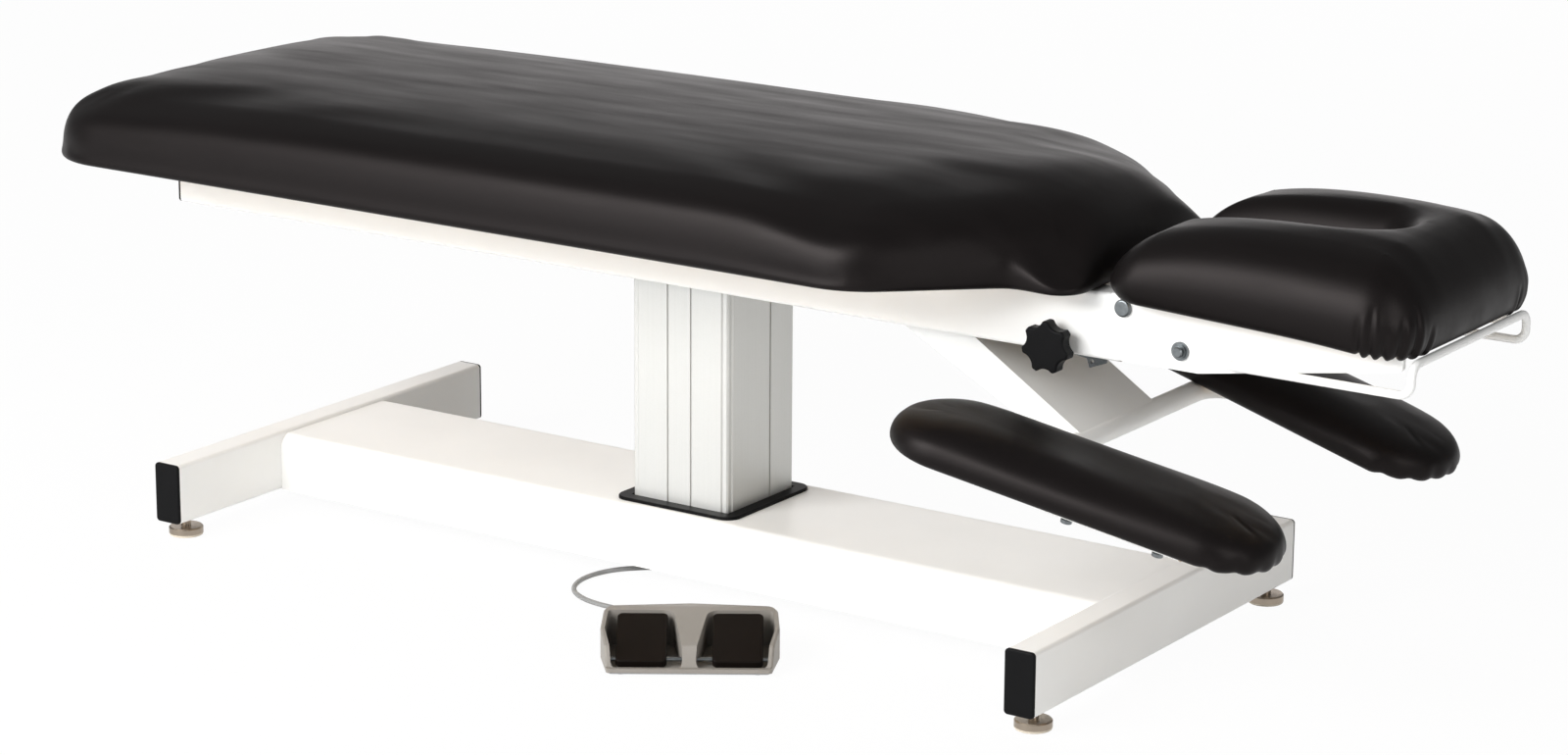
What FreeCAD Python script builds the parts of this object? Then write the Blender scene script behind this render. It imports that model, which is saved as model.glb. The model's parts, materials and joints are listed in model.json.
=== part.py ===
import FreeCAD, Part
import Sketcher

import math
import os
import re
from types import SimpleNamespace

from FreeCAD import Placement, Rotation, Vector

# Sizes of the table, in millimetres and degrees
SIZES = {
    # Floor frame: two cross beams and the cover between them
    "base_length": 1279.6,
    "base_width": 610.0,
    "beam_width": 38.1,
    "beam_height": 76.2,
    "tube_wall": 3.0,
    "tube_corner": 5.0,
    "beam_clearance": 21.9,
    "cover_width": 219.0,
    "cover_drop": 3.7,
    "cover_edge": 18.0,
    "sheet_wall": 1.5,
    "spine_width": 30.0,
    "cap_flange": 4.0,
    "cap_plug": 14.0,
    # Levelling feet
    "foot_radius": 21.5,
    "foot_rim": 11.0,
    "foot_chamfer": 1.5,
    "foot_stud": 6.0,
    "foot_stud_length": 48.0,
    "foot_inset": 33.5,
    "insert_radius": 11.0,
    "insert_height": 12.0,
    # Lifting column: three square sections, one inside the other
    "column_width": 143.0,
    "column_wall": 4.0,
    "column_seat": 68.0,
    "column_length": 362.0,
    "column_step": 9.0,
    "column_bevel": 2.0,
    "groove_offset": 17.0,
    "groove_width": 3.0,
    "groove_depth": 1.8,
    "glide_wall": 3.2,
    "glide_length": 32.0,
    "slide_gap": 0.3,
    "stage_step": 5.0,
    "seat_plate": 8.0,
    "seat_plate_length": 190.0,
    "ring_width": 176.0,
    "ring_height": 4.0,
    "ring_corner": 18.0,
    "ring_chamfer": 1.0,
    # Electric actuator inside the column, its controller and the inlet
    "actuator_radius": 24.0,
    "actuator_rod": 14.0,
    "gearbox_width": 62.0,
    "gearbox_height": 28.0,
    "gearbox_length": 140.0,
    "motor_radius": 28.0,
    "motor_length": 120.0,
    "control_length": 180.0,
    "control_width": 96.0,
    "control_height": 44.0,
    "control_offset": 240.0,
    "inlet_width": 48.0,
    "inlet_height": 27.0,
    "inlet_depth": 22.0,
    "inlet_offset": 470.0,
    "inlet_flange": 3.0,
    "socket_width": 24.0,
    "socket_height": 18.0,
    # Top frame: two rails, cross members and the plate on the column
    "rail_clearance": 385.0,
    "rail_gap": 177.8,
    "rail_foot_reach": 745.0,
    "rail_head_reach": 634.0,
    "head_plate_length": 220.0,
    "cross_member_foot": 700.0,
    "cross_member_middle": 330.0,
    "cross_member_head": 255.0,
    "board": 12.0,
    "board_inset": 16.0,
    "board_gap": 0.4,
    # Main cushion
    "cushion_foot_reach": 840.0,
    "cushion_head_reach": 603.0,
    "cushion_width": 610.0,
    "neck_width": 362.0,
    "cushion_height": 85.0,
    "cushion_roll": 50.0,
    "cushion_crown": 7.0,
    "shoulder_reach": 388.0,
    "neck_reach": 524.0,
    "foot_end_corner": 105.0,
    "foot_end_share": 0.6,
    "shoulder_corner": 110.0,
    "neck_corner": 30.0,
    "head_end_corner": 38.0,
    # Headpiece frame and cushion
    "hinge_overhang": 8.0,
    "hinge_radius": 8.5,
    "hinge_pin": 6.0,
    "bolt_head": 10.0,
    "bolt_head_height": 5.0,
    "pin_gap": 0.05,
    "hinge_block_length": 52.0,
    "side_plate": 6.35,
    "side_plate_gap": 0.5,
    "side_plate_start": 627.0,
    "side_plate_knee": 736.0,
    "side_plate_end": 979.0,
    "side_plate_level": 390.0,
    "side_plate_tip": 429.0,
    "side_plate_corner": 6.0,
    "headpiece_start": 632.0,
    "headpiece_length": 366.0,
    "headpiece_width": 344.0,
    "headpiece_height": 86.0,
    "headpiece_roll": 38.0,
    "headpiece_crown": 4.0,
    "headpiece_bottom": 464.3,
    "headpiece_tilt": 2.6,
    "headpiece_head_corner": 58.0,
    "headpiece_table_corner": 52.0,
    "slot_width": 76.0,
    "slot_steep_share": 0.6,
    "slot_length": 262.0,
    "slot_lip_share": 0.33,
    "cross_pin_reach": 72.0,
    "cross_pin_drop": 37.7,
    "cross_pin_overhang": 9.0,
    "washer_radius": 10.5,
    "small_washer_radius": 8.0,
    "washer": 2.0,
    # Release bail
    "bail_rod": 4.75,
    "bail_pivot": 775.0,
    "bail_reach": 994.0,
    "bail_level": 407.0,
    "bail_rise": 33.0,
    "bail_width": 286.0,
    "bail_bend": 14.0,
    "bail_hook_bend": 9.0,
    # Lockable gas spring
    "anchor_reach": 452.0,
    "anchor_level": 426.0,
    "anchor_tube": 25.4,
    "anchor_arm": 32.0,
    "anchor_rise": 8.0,
    "ear": 4.0,
    "ear_radius": 9.0,
    "anchor_pin": 4.0,
    "spring_radius": 11.0,
    "spring_length": 130.0,
    "spring_neck": 14.0,
    "spring_neck_radius": 5.5,
    "spring_rod": 4.0,
    "spring_eye": 8.5,
    "spring_eye_width": 12.0,
    "spring_overlap": 50.0,
    "rod_eye": 17.0,
    "rod_eye_play": 5.0,
    # Arm rests
    "arm_pivot_reach": 355.0,
    "arm_pivot_level": 398.0,
    "arm_pin": 6.0,
    "bracket_slope": 32.7,
    "bracket_width": 168.0,
    "bracket_wall": 4.0,
    "bracket_rise": 15.3,
    "bracket_tail": 22.0,
    "bracket_depth": 52.0,
    "bracket_end_depth": 31.0,
    "tube_radius": 12.7,
    "arm_tube_wall": 2.0,
    "arm_cross_along": 241.3,
    "arm_cross_above": 3.5,
    "arm_bend": 63.5,
    "arm_slope": 12.7,
    "arm_toe": 9.1,
    "arm_corner_half": 265.5,
    "plug_flange": 3.0,
    "plug_length": 16.0,
    "pad_length": 456.0,
    "pad_width": 158.0,
    "pad_height": 46.0,
    "pad_roll": 30.0,
    "pad_crown": 3.0,
    "pad_end_corner": 74.0,
    "pad_shift": 100.0,
    "pad_inset": 12.0,
    "pad_bolt": 3.5,
    "pad_bolt_head": 6.5,
    "pad_bolt_head_height": 4.0,
    "pad_bolt_first": 91.0,
    "pad_bolt_pitch": 108.0,
    "pad_bolt_end": 26.0,
    # Arm-rest lock
    "stud_inset": 78.5,
    "stud_level": 396.0,
    "stud": 4.0,
    "stud_head": 9.0,
    "stud_head_height": 3.5,
    "stud_depth": 13.0,
    "quadrant": 4.0,
    "quadrant_inner_band": 21.0,
    "quadrant_outer_band": 41.0,
    "lug_hole": 2.75,
    "lug_hole_band": 22.0,
    "lug_hole_drop": 28.5,
    "lug_band": 19.0,
    "lug_drop": 36.7,
    "lug_slant": 8.0,
    "lug_corner": 1.5,
    "quadrant_low_angle": 6.85,
    "quadrant_high_angle": 10.5,
    "quadrant_arm": 13.0,
    "quadrant_arm_low": 26.0,
    "quadrant_arm_high": 4.3,
    "slot_low_angle": 4.6,
    "slot_high_angle": 8.8,
    "slot_clearance": 0.6,
    "knob_radius": 30.0,
    "knob_height": 15.0,
    "knob_hub": 12.0,
    "knob_hub_height": 14.0,
    "knob_cut": 14.0,
    "knob_cut_offset": 38.4,
    "knob_tip": 3.0,
    "knob_edge": 2.5,
    "knob_gap": 0.6,
    # Foot switch
    "switch_reach": 183.0,
    "switch_side": 306.0,
    "switch_turn": 34.13,
    "switch_front_width": 188.0,
    "switch_middle_width": 206.0,
    "switch_back_width": 200.0,
    "switch_depth": 112.0,
    "switch_bow": 5.0,
    "switch_height": 50.0,
    "switch_front_height": 9.0,
    "switch_lip": 6.0,
    "switch_nose": 18.0,
    "switch_nose_height": 32.0,
    "switch_nose_blend": 6.0,
    "switch_wall": 5.0,
    "switch_rubber": 2.0,
    "switch_rubber_radius": 8.0,
    "switch_plate": 2.0,
    "switch_plate_inset": 3.0,
    "switch_edge": 2.0,
    "switch_blend": 20.0,
    "switch_corner": 8.0,
    "switch_front_corner": 4.0,
    "switch_side_corner": 16.0,
    "switch_back_corner": 32.0,
    "rib_front": 14.0,
    "rib_back": 40.0,
    "well_back": 39.0,
    "well_corner": 4.0,
    "well_back_corner": 14.0,
    "well_floor": 6.0,
    "pedal_width": 58.0,
    "pedal_depth": 85.0,
    "pedal_height": 9.0,
    "pedal_offset": 55.0,
    "pedal_top": 4.5,
    "pedal_slope": 22.05,
    "pedal_edge": 1.5,
    "pedal_corner": 6.0,
    "axle": 2.5,
    "axle_inset": 9.0,
    "axle_length": 188.0,
    "axle_side": 37.0,
    "axle_level": 14.7,
    "micro_length": 20.0,
    "micro_width": 8.0,
    "micro_height": 16.0,
    "micro_reach": 20.0,
    "plunger_radius": 2.0,
    "plunger_height": 4.0,
    # Cord of the foot switch
    "cord": 3.0,
    "cord_exit_height": 11.0,
    "gland_radius": 5.5,
    "gland_reach": 66.0,
    "gland_length": 14.0,
    "boot_radius": 6.5,
    "boot_length": 22.0,
    "boot_slope": 32.0,
    "boot_heading": 47.8,
    "boot_reach": 15.0,
    "boot_side": 12.0,
    "boot_stop": 6.0,
    "cord_lead": 22.0,
    "cord_bend_share": 0.45,
}
s = SimpleNamespace(**SIZES)

# Shares of a cushion's height, with the share of its edge roll that each level is drawn in
CUSHION_LEVEL_SHARES = [0.0, 0.12, 0.42, 0.66, 0.84, 0.95, 1.0]
CUSHION_INSET_SHARES = [0.16, 0.03, 0.0, 0.10, 0.34, 0.66, 1.0]

KNOB_LOBES = 7

# Straight edges count as parallel where their directions agree by this share
PARALLEL_SHARE = 0.99

doc = FreeCAD.newDocument("ChiropracticTable")
sheet = doc.addObject("Spreadsheet::Sheet", "Sizes")
for row, (name, value) in enumerate(SIZES.items(), start=1):
    sheet.set(f"A{row}", name)
    sheet.set(f"B{row}", str(value))
    sheet.setAlias(f"B{row}", name)
doc.recompute()

nodes = []


def bound(text):
    return re.sub(r"[a-z][a-z_]*", lambda word: "Sizes." + word.group(), text)


def bind(item, **sizes):
    for name, text in sizes.items():
        item.setExpression(name, bound(text))


def node(item, x=0.0, y=0.0, z=0.0, rotation=Rotation()):
    item.Placement = Placement(Vector(x, y, z), rotation)
    nodes.append(item)
    return item


def shape_node(label, shape, place=Placement()):
    item = doc.addObject("Part::Feature", label)
    item.Label = label
    item.Shape = shape
    item.Placement = place
    nodes.append(item)
    return item


# Closed outline of (x, y, corner radius): straight runs joined by tangent arcs
def rounded(points):
    corners = []
    for index, (x, y, radius) in enumerate(points):
        here = Vector(x, y, 0)
        into = (Vector(*points[index - 1][:2], 0) - here).normalize()
        out = (Vector(*points[(index + 1) % len(points)][:2], 0) - here).normalize()
        half_turn = (math.pi - into.getAngle(out)) / 2
        reach = radius * math.tan(half_turn)
        middle = here + (into + out).normalize() * (radius / math.cos(half_turn) - radius)
        corners.append((here + into * reach, middle, here + out * reach, radius))
    edges = []
    for index, (start, middle, end, radius) in enumerate(corners):
        if radius > 0:
            edges.append(Part.Arc(start, middle, end))
        following = corners[(index + 1) % len(corners)][0]
        edges.append(Part.LineSegment(end, following))
    return edges


def wire(points):
    return Part.Wire([edge.toShape() for edge in rounded(points)])


def slab(points, thickness):
    return Part.Face(wire(points)).extrude(Vector(0, 0, thickness))


def cylinder(radius, length, start, direction):
    return Part.makeCylinder(radius, length, start, direction)


def new_body(label):
    body = doc.addObject("PartDesign::Body", label)
    body.Label = label
    return body


def new_sketch(body, role, x=0.0, y=0.0, offset=0.0):
    sketch = body.newObject("Sketcher::SketchObject", body.Label + "_sketch")
    plane = [item for item in body.Origin.OriginFeatures if item.Role == role][0]
    sketch.AttachmentSupport = [(plane, "")]
    sketch.MapMode = "FlatFace"
    sketch.AttachmentOffset = Placement(Vector(x, y, offset), Rotation())
    return sketch


# A rectangle round the sketch's own centre, its sides bound to the sheet
def add_rectangle(sketch, width, height):
    first = sketch.GeometryCount
    corners = [Vector(-1, -1, 0), Vector(1, -1, 0), Vector(1, 1, 0), Vector(-1, 1, 0)]
    for index, corner in enumerate(corners):
        sketch.addGeometry(Part.LineSegment(corner, corners[(index + 1) % 4]))
    for index in range(4):
        following = first + (index + 1) % 4
        sketch.addConstraint(Sketcher.Constraint("Coincident", first + index, 2, following, 1))
    for index in range(4):
        kind = "Vertical" if index % 2 else "Horizontal"
        sketch.addConstraint(Sketcher.Constraint(kind, first + index))
    sketch.addConstraint(Sketcher.Constraint("Symmetric", first, 1, first + 2, 1, -1, 1))
    wide = sketch.addConstraint(Sketcher.Constraint("DistanceX", first, 1, first, 2, 2.0))
    high = sketch.addConstraint(Sketcher.Constraint("DistanceY", first + 1, 1, first + 1, 2, 2.0))
    sketch.setExpression(f"Constraints[{wide}]", bound(width))
    sketch.setExpression(f"Constraints[{high}]", bound(height))


def add_circle(sketch, radius):
    first = sketch.addGeometry(Part.Circle(Vector(0, 0, 0), Vector(0, 0, 1), 1.0))
    sketch.addConstraint(Sketcher.Constraint("Coincident", first, 3, -1, 1))
    size = sketch.addConstraint(Sketcher.Constraint("Radius", first, 1.0))
    sketch.setExpression(f"Constraints[{size}]", bound(radius))


def add_outline(sketch, points):
    sketch.addGeometry(rounded(points))


def pad(body, sketch, length, symmetric=False, reverse=False):
    feature = body.newObject("PartDesign::Pad", body.Label + "_pad")
    feature.Profile = sketch
    feature.SideType = "Symmetric" if symmetric else "One side"
    feature.Reversed = reverse
    bind(feature, Length=length)
    doc.recompute()
    return feature


def pocket(body, sketch, length=None, symmetric=False, reverse=False):
    before = body.Shape.Volume
    feature = body.newObject("PartDesign::Pocket", body.Label + "_pocket")
    feature.Profile = sketch
    feature.Reversed = reverse
    if length:
        bind(feature, Length=length)
    else:
        feature.Type = "ThroughAll"
    if symmetric or not length:
        feature.SideType = "Symmetric"
    doc.recompute()
    if not body.Shape.Volume < before:
        raise RuntimeError(body.Label + ": a pocket cuts nothing")
    return feature


def round_edges(body, feature, radius, wanted):
    names = [f"Edge{index}" for index, edge in enumerate(feature.Shape.Edges, 1) if wanted(edge)]
    fillet = body.newObject("PartDesign::Fillet", body.Label + "_fillet")
    fillet.Base = (feature, names)
    bind(fillet, Radius=radius)
    doc.recompute()
    return fillet


def bevel_edges(body, feature, size, wanted):
    names = [f"Edge{index}" for index, edge in enumerate(feature.Shape.Edges, 1) if wanted(edge)]
    chamfer = body.newObject("PartDesign::Chamfer", body.Label + "_chamfer")
    chamfer.Base = (feature, names)
    bind(chamfer, Size=size)
    doc.recompute()
    return chamfer


def is_line(edge):
    return edge.Curve.TypeId == "Part::GeomLine"


def along(edge, axis):
    return is_line(edge) and abs(edge.tangentAt(edge.FirstParameter).dot(axis)) > PARALLEL_SHARE


# Rectangular steel tube along one axis, hollow, with rounded outer corners
def tube_body(label, role, width, height, wall, length, corner=None):
    body = new_body(label)
    sketch = new_sketch(body, role)
    add_rectangle(sketch, width, height)
    add_rectangle(sketch, f"{width} - 2 * {wall}", f"{height} - 2 * {wall}")
    tube = pad(body, sketch, length, symmetric=True)
    axis = {"YZ_Plane": Vector(1, 0, 0), "XZ_Plane": Vector(0, 1, 0), "XY_Plane": Vector(0, 0, 1)}[role]
    box = tube.Shape.BoundBox

    def is_corner(edge):
        middle = edge.CenterOfMass
        across = middle - axis * middle.dot(axis)
        size = Vector(box.XLength, box.YLength, box.ZLength) / 2
        reach = size - axis * size.dot(axis)
        return along(edge, axis) and abs(across.Length - reach.Length) < s.tube_wall / 2

    round_edges(body, tube, corner or "tube_corner", is_corner)
    return body


# Places worked out from the sizes
beam_x = (s.base_length - s.beam_width) / 2
beam_z = s.beam_clearance + s.beam_height / 2
spine_length = s.base_length - 2 * s.beam_width
inlet_z = s.beam_clearance + (s.beam_height - s.cover_drop) / 2
cover_top = s.beam_clearance + s.beam_height - s.cover_drop
pan_top = s.beam_clearance + s.sheet_wall
rail_top = s.rail_clearance + s.beam_height
rail_y = (s.rail_gap + s.beam_width) / 2
rail_face = s.rail_gap / 2 + s.beam_width
plate_level = rail_top - s.tube_wall - s.seat_plate
hinge_x = s.rail_head_reach + s.hinge_overhang
stud_x = s.rail_head_reach - s.stud_inset
hinge_z = rail_top - s.tube_wall - s.hinge_radius
plate_y = rail_face + s.side_plate_gap
plate_outer = plate_y + s.side_plate
cross_pin_x = hinge_x + s.cross_pin_reach
cross_pin_z = hinge_z - s.cross_pin_drop

X_AXIS = Vector(1, 0, 0)
Y_AXIS = Vector(0, 1, 0)
Z_AXIS = Vector(0, 0, 1)
SIDES = (("near", -1), ("far", 1))


# Floor frame: a hollow beam across each end, open below where each foot screws in
def base_beam(label, side):
    body = tube_body(label, "XZ_Plane", "beam_width", "beam_height", "tube_wall",
                     "base_width - 2 * cap_flange")
    for end in (-1, 1):
        hole = new_sketch(body, "XY_Plane", y=end * (s.base_width / 2 - s.foot_inset))
        add_circle(hole, "insert_radius")
        pocket(body, hole, "beam_height / 2")
    return node(body, side * beam_x, 0, beam_z)


base_beam("base_beam_foot", -1)
base_beam("base_beam_head", 1)


# Two tubes along the base, with the seat plate of the column welded between them
def base_spine():
    height = s.column_seat - pan_top + s.seat_plate
    inner = s.column_width / 2 + s.slide_gap
    tubes = []
    for side in (-1, 1):
        outer = Part.makeBox(spine_length, s.spine_width, height)
        hollow = Part.makeBox(spine_length, s.spine_width - 2 * s.tube_wall, height - 2 * s.tube_wall)
        hollow.translate(Vector(0, s.tube_wall, s.tube_wall))
        tube = outer.cut(hollow)
        start = inner if side > 0 else -inner - s.spine_width
        tube.translate(Vector(-spine_length / 2, start, pan_top))
        tubes.append(tube)
    width = s.inlet_width + 2 * s.slide_gap
    tall = s.inlet_height + 2 * s.slide_gap
    window = Part.makeBox(width, s.tube_wall, tall)
    window.translate(Vector(-s.inlet_offset - width / 2, inner + s.spine_width - s.tube_wall, inlet_z - tall / 2))
    tubes[1] = tubes[1].cut(window)
    plate = Part.makeBox(s.seat_plate_length, 2 * inner, s.seat_plate)
    plate.translate(Vector(-s.seat_plate_length / 2, -inner, s.column_seat - s.seat_plate))
    hole = cylinder(s.actuator_radius, s.seat_plate, Vector(0, 0, s.column_seat - s.seat_plate), Z_AXIS)
    return shape_node("base_spine", tubes[0].fuse([tubes[1], plate]).cut(hole).removeSplitter())


base_spine()


# Sheet cover over the spine, its long edges rolled, open where the column rises
def base_cover():
    body = new_body("base_cover")
    half = s.cover_width / 2
    wall = s.sheet_wall
    height = cover_top - s.beam_clearance
    profile = new_sketch(body, "YZ_Plane")
    add_outline(profile, [
        (-half, 0, 0),
        (-half, height, s.cover_edge),
        (half, height, s.cover_edge),
        (half, 0, 0),
        (half - wall, 0, 0),
        (half - wall, height - wall, s.cover_edge - wall),
        (-half + wall, height - wall, s.cover_edge - wall),
        (-half + wall, 0, 0),
    ])
    pad(body, profile, "base_length - 2 * beam_width", symmetric=True)
    opening = new_sketch(body, "XY_Plane", offset=height)
    add_rectangle(opening, "column_width + 2 * slide_gap", "column_width + 2 * slide_gap")
    pocket(body, opening, "cover_edge")
    inlet = new_sketch(body, "XZ_Plane", x=-s.inlet_offset, y=height / 2)
    add_rectangle(inlet, "inlet_width", "inlet_height")
    pocket(body, inlet, "cover_width")
    return node(body, 0, 0, s.beam_clearance)


base_cover()


# Flat pan that closes the cover below, with the hole of the switch cord's boot
def base_pan():
    body = new_body("base_pan")
    sheet_outline = new_sketch(body, "XY_Plane")
    add_rectangle(sheet_outline, "base_length - 2 * beam_width", "cover_width - 2 * sheet_wall - 2 * slide_gap")
    pad(body, sheet_outline, "sheet_wall")
    hole = new_sketch(body, "XY_Plane", x=s.boot_reach, y=s.boot_side)
    add_circle(hole, "boot_radius - sheet_wall")
    pocket(body, hole)
    return node(body, 0, 0, s.beam_clearance)


base_pan()


def copies(label, template, places):
    solids = []
    for place in places:
        solid = template.copy()
        solid.Placement = place.multiply(solid.Placement)
        solids.append(solid)
    return shape_node(label, Part.makeCompound(solids))


# Moulded cap in each beam end: a rounded flange and a plug that fills the bore
def beam_end_caps():
    half_width = s.beam_width / 2
    half_height = s.beam_height / 2
    wall = s.tube_wall

    def block(inset, corner, thickness):
        return slab([
            (-half_width + inset, -half_height + inset, corner),
            (half_width - inset, -half_height + inset, corner),
            (half_width - inset, half_height - inset, corner),
            (-half_width + inset, half_height - inset, corner),
        ], thickness)

    flange = block(0, s.tube_corner, s.cap_flange)
    rim = [edge for edge in flange.Edges if edge.CenterOfMass.z > s.cap_flange - s.pin_gap]
    flange = flange.makeFillet(s.cap_flange / 2, rim)
    plug = block(wall, 0, s.cap_plug)
    plug.translate(Vector(0, 0, -s.cap_plug))
    cap = flange.fuse(plug)
    places = []
    for x in (-beam_x, beam_x):
        for side in (-1, 1):
            turn = Rotation(X_AXIS, -90 * side)
            places.append(Placement(Vector(x, side * (s.base_width / 2 - s.cap_flange), beam_z), turn))
    return copies("beam_end_caps", cap, places)


beam_end_caps()

foot_y = s.base_width / 2 - s.foot_inset
foot_places = [(x, y) for x in (-beam_x, beam_x) for y in (-foot_y, foot_y)]


# Threaded insert in the floor of each beam, which a levelling foot screws into
def foot_inserts():
    body = cylinder(s.insert_radius, s.insert_height, Vector(0, 0, s.beam_clearance), Z_AXIS)
    bore = cylinder(s.foot_stud + s.pin_gap, s.insert_height, Vector(0, 0, s.beam_clearance), Z_AXIS)
    insert = body.cut(bore)
    return copies("foot_inserts", insert, [Placement(Vector(x, y, 0), Rotation()) for x, y in foot_places])


foot_inserts()


# Levelling foot: a turned disc with a bevelled rim under a threaded stud
def levelling_foot(index, x, y):
    body = new_body(f"levelling_foot_{index}")
    profile = new_sketch(body, "XZ_Plane")
    top = s.foot_rim + s.foot_stud_length
    add_outline(profile, [
        (0, 0, 0),
        (s.foot_radius - s.foot_chamfer / 2, 0, 0),
        (s.foot_radius, s.foot_chamfer, 0),
        (s.foot_radius, s.foot_rim - s.foot_chamfer, 0),
        (s.foot_radius - s.foot_chamfer, s.foot_rim, 0),
        (s.foot_stud, s.foot_rim, 0),
        (s.foot_stud, top, 0),
        (0, top, 0),
    ])
    turned = body.newObject("PartDesign::Revolution", body.Label + "_turned")
    turned.Profile = profile
    turned.ReferenceAxis = (profile, ["V_Axis"])
    turned.Angle = 360
    doc.recompute()
    return node(body, x, y, 0)


for index, (x, y) in enumerate(foot_places, start=1):
    levelling_foot(index, x, y)


# Collar that hides the gap between cover and column
def column_ring():
    body = new_body("column_ring")
    outline = new_sketch(body, "XY_Plane")
    half = s.ring_width / 2
    add_outline(outline, [
        (-half, -half, s.ring_corner),
        (half, -half, s.ring_corner),
        (half, half, s.ring_corner),
        (-half, half, s.ring_corner),
    ])
    block = pad(body, outline, "ring_height")
    rim = bevel_edges(body, block, "ring_chamfer", lambda edge: edge.CenterOfMass.z > s.ring_height - s.pin_gap)
    bore = new_sketch(body, "XY_Plane")
    add_rectangle(bore, "column_width + 2 * slide_gap", "column_width + 2 * slide_gap")
    pocket(body, bore)
    return node(body, 0, 0, cover_top)


column_ring()


# One side of the column's extrusion: a stepped, bevelled corner and narrow grooves
def column_side(grooves):
    half = s.column_width / 2
    step = half - s.column_step
    deep = half - s.groove_depth
    side = [(-deep + s.column_bevel, deep), (-step, deep), (-step + s.groove_depth, half)]
    for middle in grooves:
        side.append((middle - s.groove_width / 2, half))
        side.append((middle - s.groove_width / 2, deep))
        side.append((middle + s.groove_width / 2, deep))
        side.append((middle + s.groove_width / 2, half))
    return side + [(step - s.groove_depth, half), (step, deep), (deep - s.column_bevel, deep)]


def column_outer():
    body = new_body("column_outer")
    outline = []
    pair = (-s.groove_offset, s.groove_offset)
    for quarter, grooves in enumerate((pair, pair[:1], pair, pair[1:])):
        turn = Rotation(Z_AXIS, -90 * quarter)
        for x, y in column_side(grooves):
            corner = turn.multVec(Vector(x, y, 0))
            outline.append((corner.x, corner.y, 0))
    profile = new_sketch(body, "XY_Plane")
    add_outline(profile, outline)
    add_rectangle(profile, "column_width - 2 * column_wall", "column_width - 2 * column_wall")
    pad(body, profile, "column_length")
    return node(body, 0, 0, s.column_seat)


column_outer()


def stage(label, width, start, top):
    body = new_body(label)
    profile = new_sketch(body, "XY_Plane")
    add_rectangle(profile, width, width)
    add_rectangle(profile, f"{width} - 2 * column_wall", f"{width} - 2 * column_wall")
    pad(body, profile, top)
    return node(body, 0, 0, start)


middle_text = "column_width - 2 * column_wall - 2 * glide_wall"
inner_text = "column_width - 4 * column_wall - 4 * glide_wall"
middle_start = s.column_seat + s.stage_step
inner_start = middle_start + s.stage_step
stage("column_middle", middle_text, middle_start, "column_length")
stage("column_inner", inner_text, inner_start, "rail_clearance + beam_height - tube_wall - seat_plate"
      " - column_seat - 2 * stage_step")


# Frame of glide pads in the mouth of a section, a sliding gap off the next one
def glides(label, outer_text, inner_text, top):
    body = new_body(label)
    profile = new_sketch(body, "XY_Plane")
    add_rectangle(profile, outer_text, outer_text)
    add_rectangle(profile, inner_text + " + 2 * slide_gap", inner_text + " + 2 * slide_gap")
    pad(body, profile, "glide_length", reverse=True)
    return node(body, 0, 0, top)


glides("outer_glides", "column_width - 2 * column_wall", middle_text, s.column_seat + s.column_length)
glides("middle_glides", middle_text + " - 2 * column_wall", inner_text, middle_start + s.column_length)


# Sealed actuator: its tube stands in the column, gearbox and motor lie in the base
def lift_actuator():
    ceiling = s.column_seat - s.seat_plate
    floor = ceiling - s.gearbox_height
    box = Part.makeBox(s.gearbox_length, s.gearbox_width, s.gearbox_height)
    box.translate(Vector(-s.gearbox_width / 2, -s.gearbox_width / 2, floor))
    upright = [edge for edge in box.Edges if along(edge, Z_AXIS)]
    box = box.makeFillet(s.tube_corner, upright)
    motor_start = Vector(s.seat_plate_length / 2 + s.stage_step, 0, floor + s.motor_radius)
    motor = cylinder(s.motor_radius, s.motor_length, motor_start, X_AXIS)
    tube_start = Vector(0, 0, ceiling - s.stage_step)
    tube_length = s.column_seat + s.column_length - tube_start.z - s.stage_step
    tube = cylinder(s.actuator_radius, tube_length, tube_start, Z_AXIS)
    bore_start = Vector(0, 0, s.column_seat + s.stage_step)
    bore = cylinder(s.actuator_rod + s.slide_gap, tube_length, bore_start, Z_AXIS)
    return shape_node("lift_actuator", box.fuse([motor, tube]).cut(bore).removeSplitter())


lift_actuator()
rod_start = s.column_seat + 2 * s.stage_step
shape_node("actuator_rod", cylinder(s.actuator_rod, plate_level - rod_start, Vector(0, 0, rod_start), Z_AXIS))


# Controller case on the pan, with a lid lip all round
def control_box():
    body = new_body("control_box")
    outline = new_sketch(body, "XY_Plane")
    add_rectangle(outline, "control_length", "control_width")
    case = pad(body, outline, "control_height")
    round_edges(body, case, "tube_corner", lambda edge: along(edge, Z_AXIS))
    lip = new_sketch(body, "XY_Plane", offset=s.control_height)
    add_rectangle(lip, "control_length - 2 * tube_corner", "control_width - 2 * tube_corner")
    pad(body, lip, "sheet_wall")
    return node(body, -s.control_offset, 0, pan_top)


control_box()


# Mains inlet in the far wall of the cover: a flange outside, a body inside, a socket
def power_inlet():
    body = new_body("power_inlet")
    flange = new_sketch(body, "XZ_Plane")
    add_rectangle(flange, "inlet_width + 2 * inlet_flange", "inlet_height + 2 * inlet_flange")
    pad(body, flange, "inlet_flange", reverse=True)
    back = new_sketch(body, "XZ_Plane")
    add_rectangle(back, "inlet_width", "inlet_height")
    pad(body, back, "inlet_depth")
    socket = new_sketch(body, "XZ_Plane", offset=-s.inlet_flange)
    add_rectangle(socket, "socket_width", "socket_height")
    pocket(body, socket, "inlet_depth", reverse=True)
    return node(body, -s.inlet_offset, s.cover_width / 2, inlet_z)


power_inlet()


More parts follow.
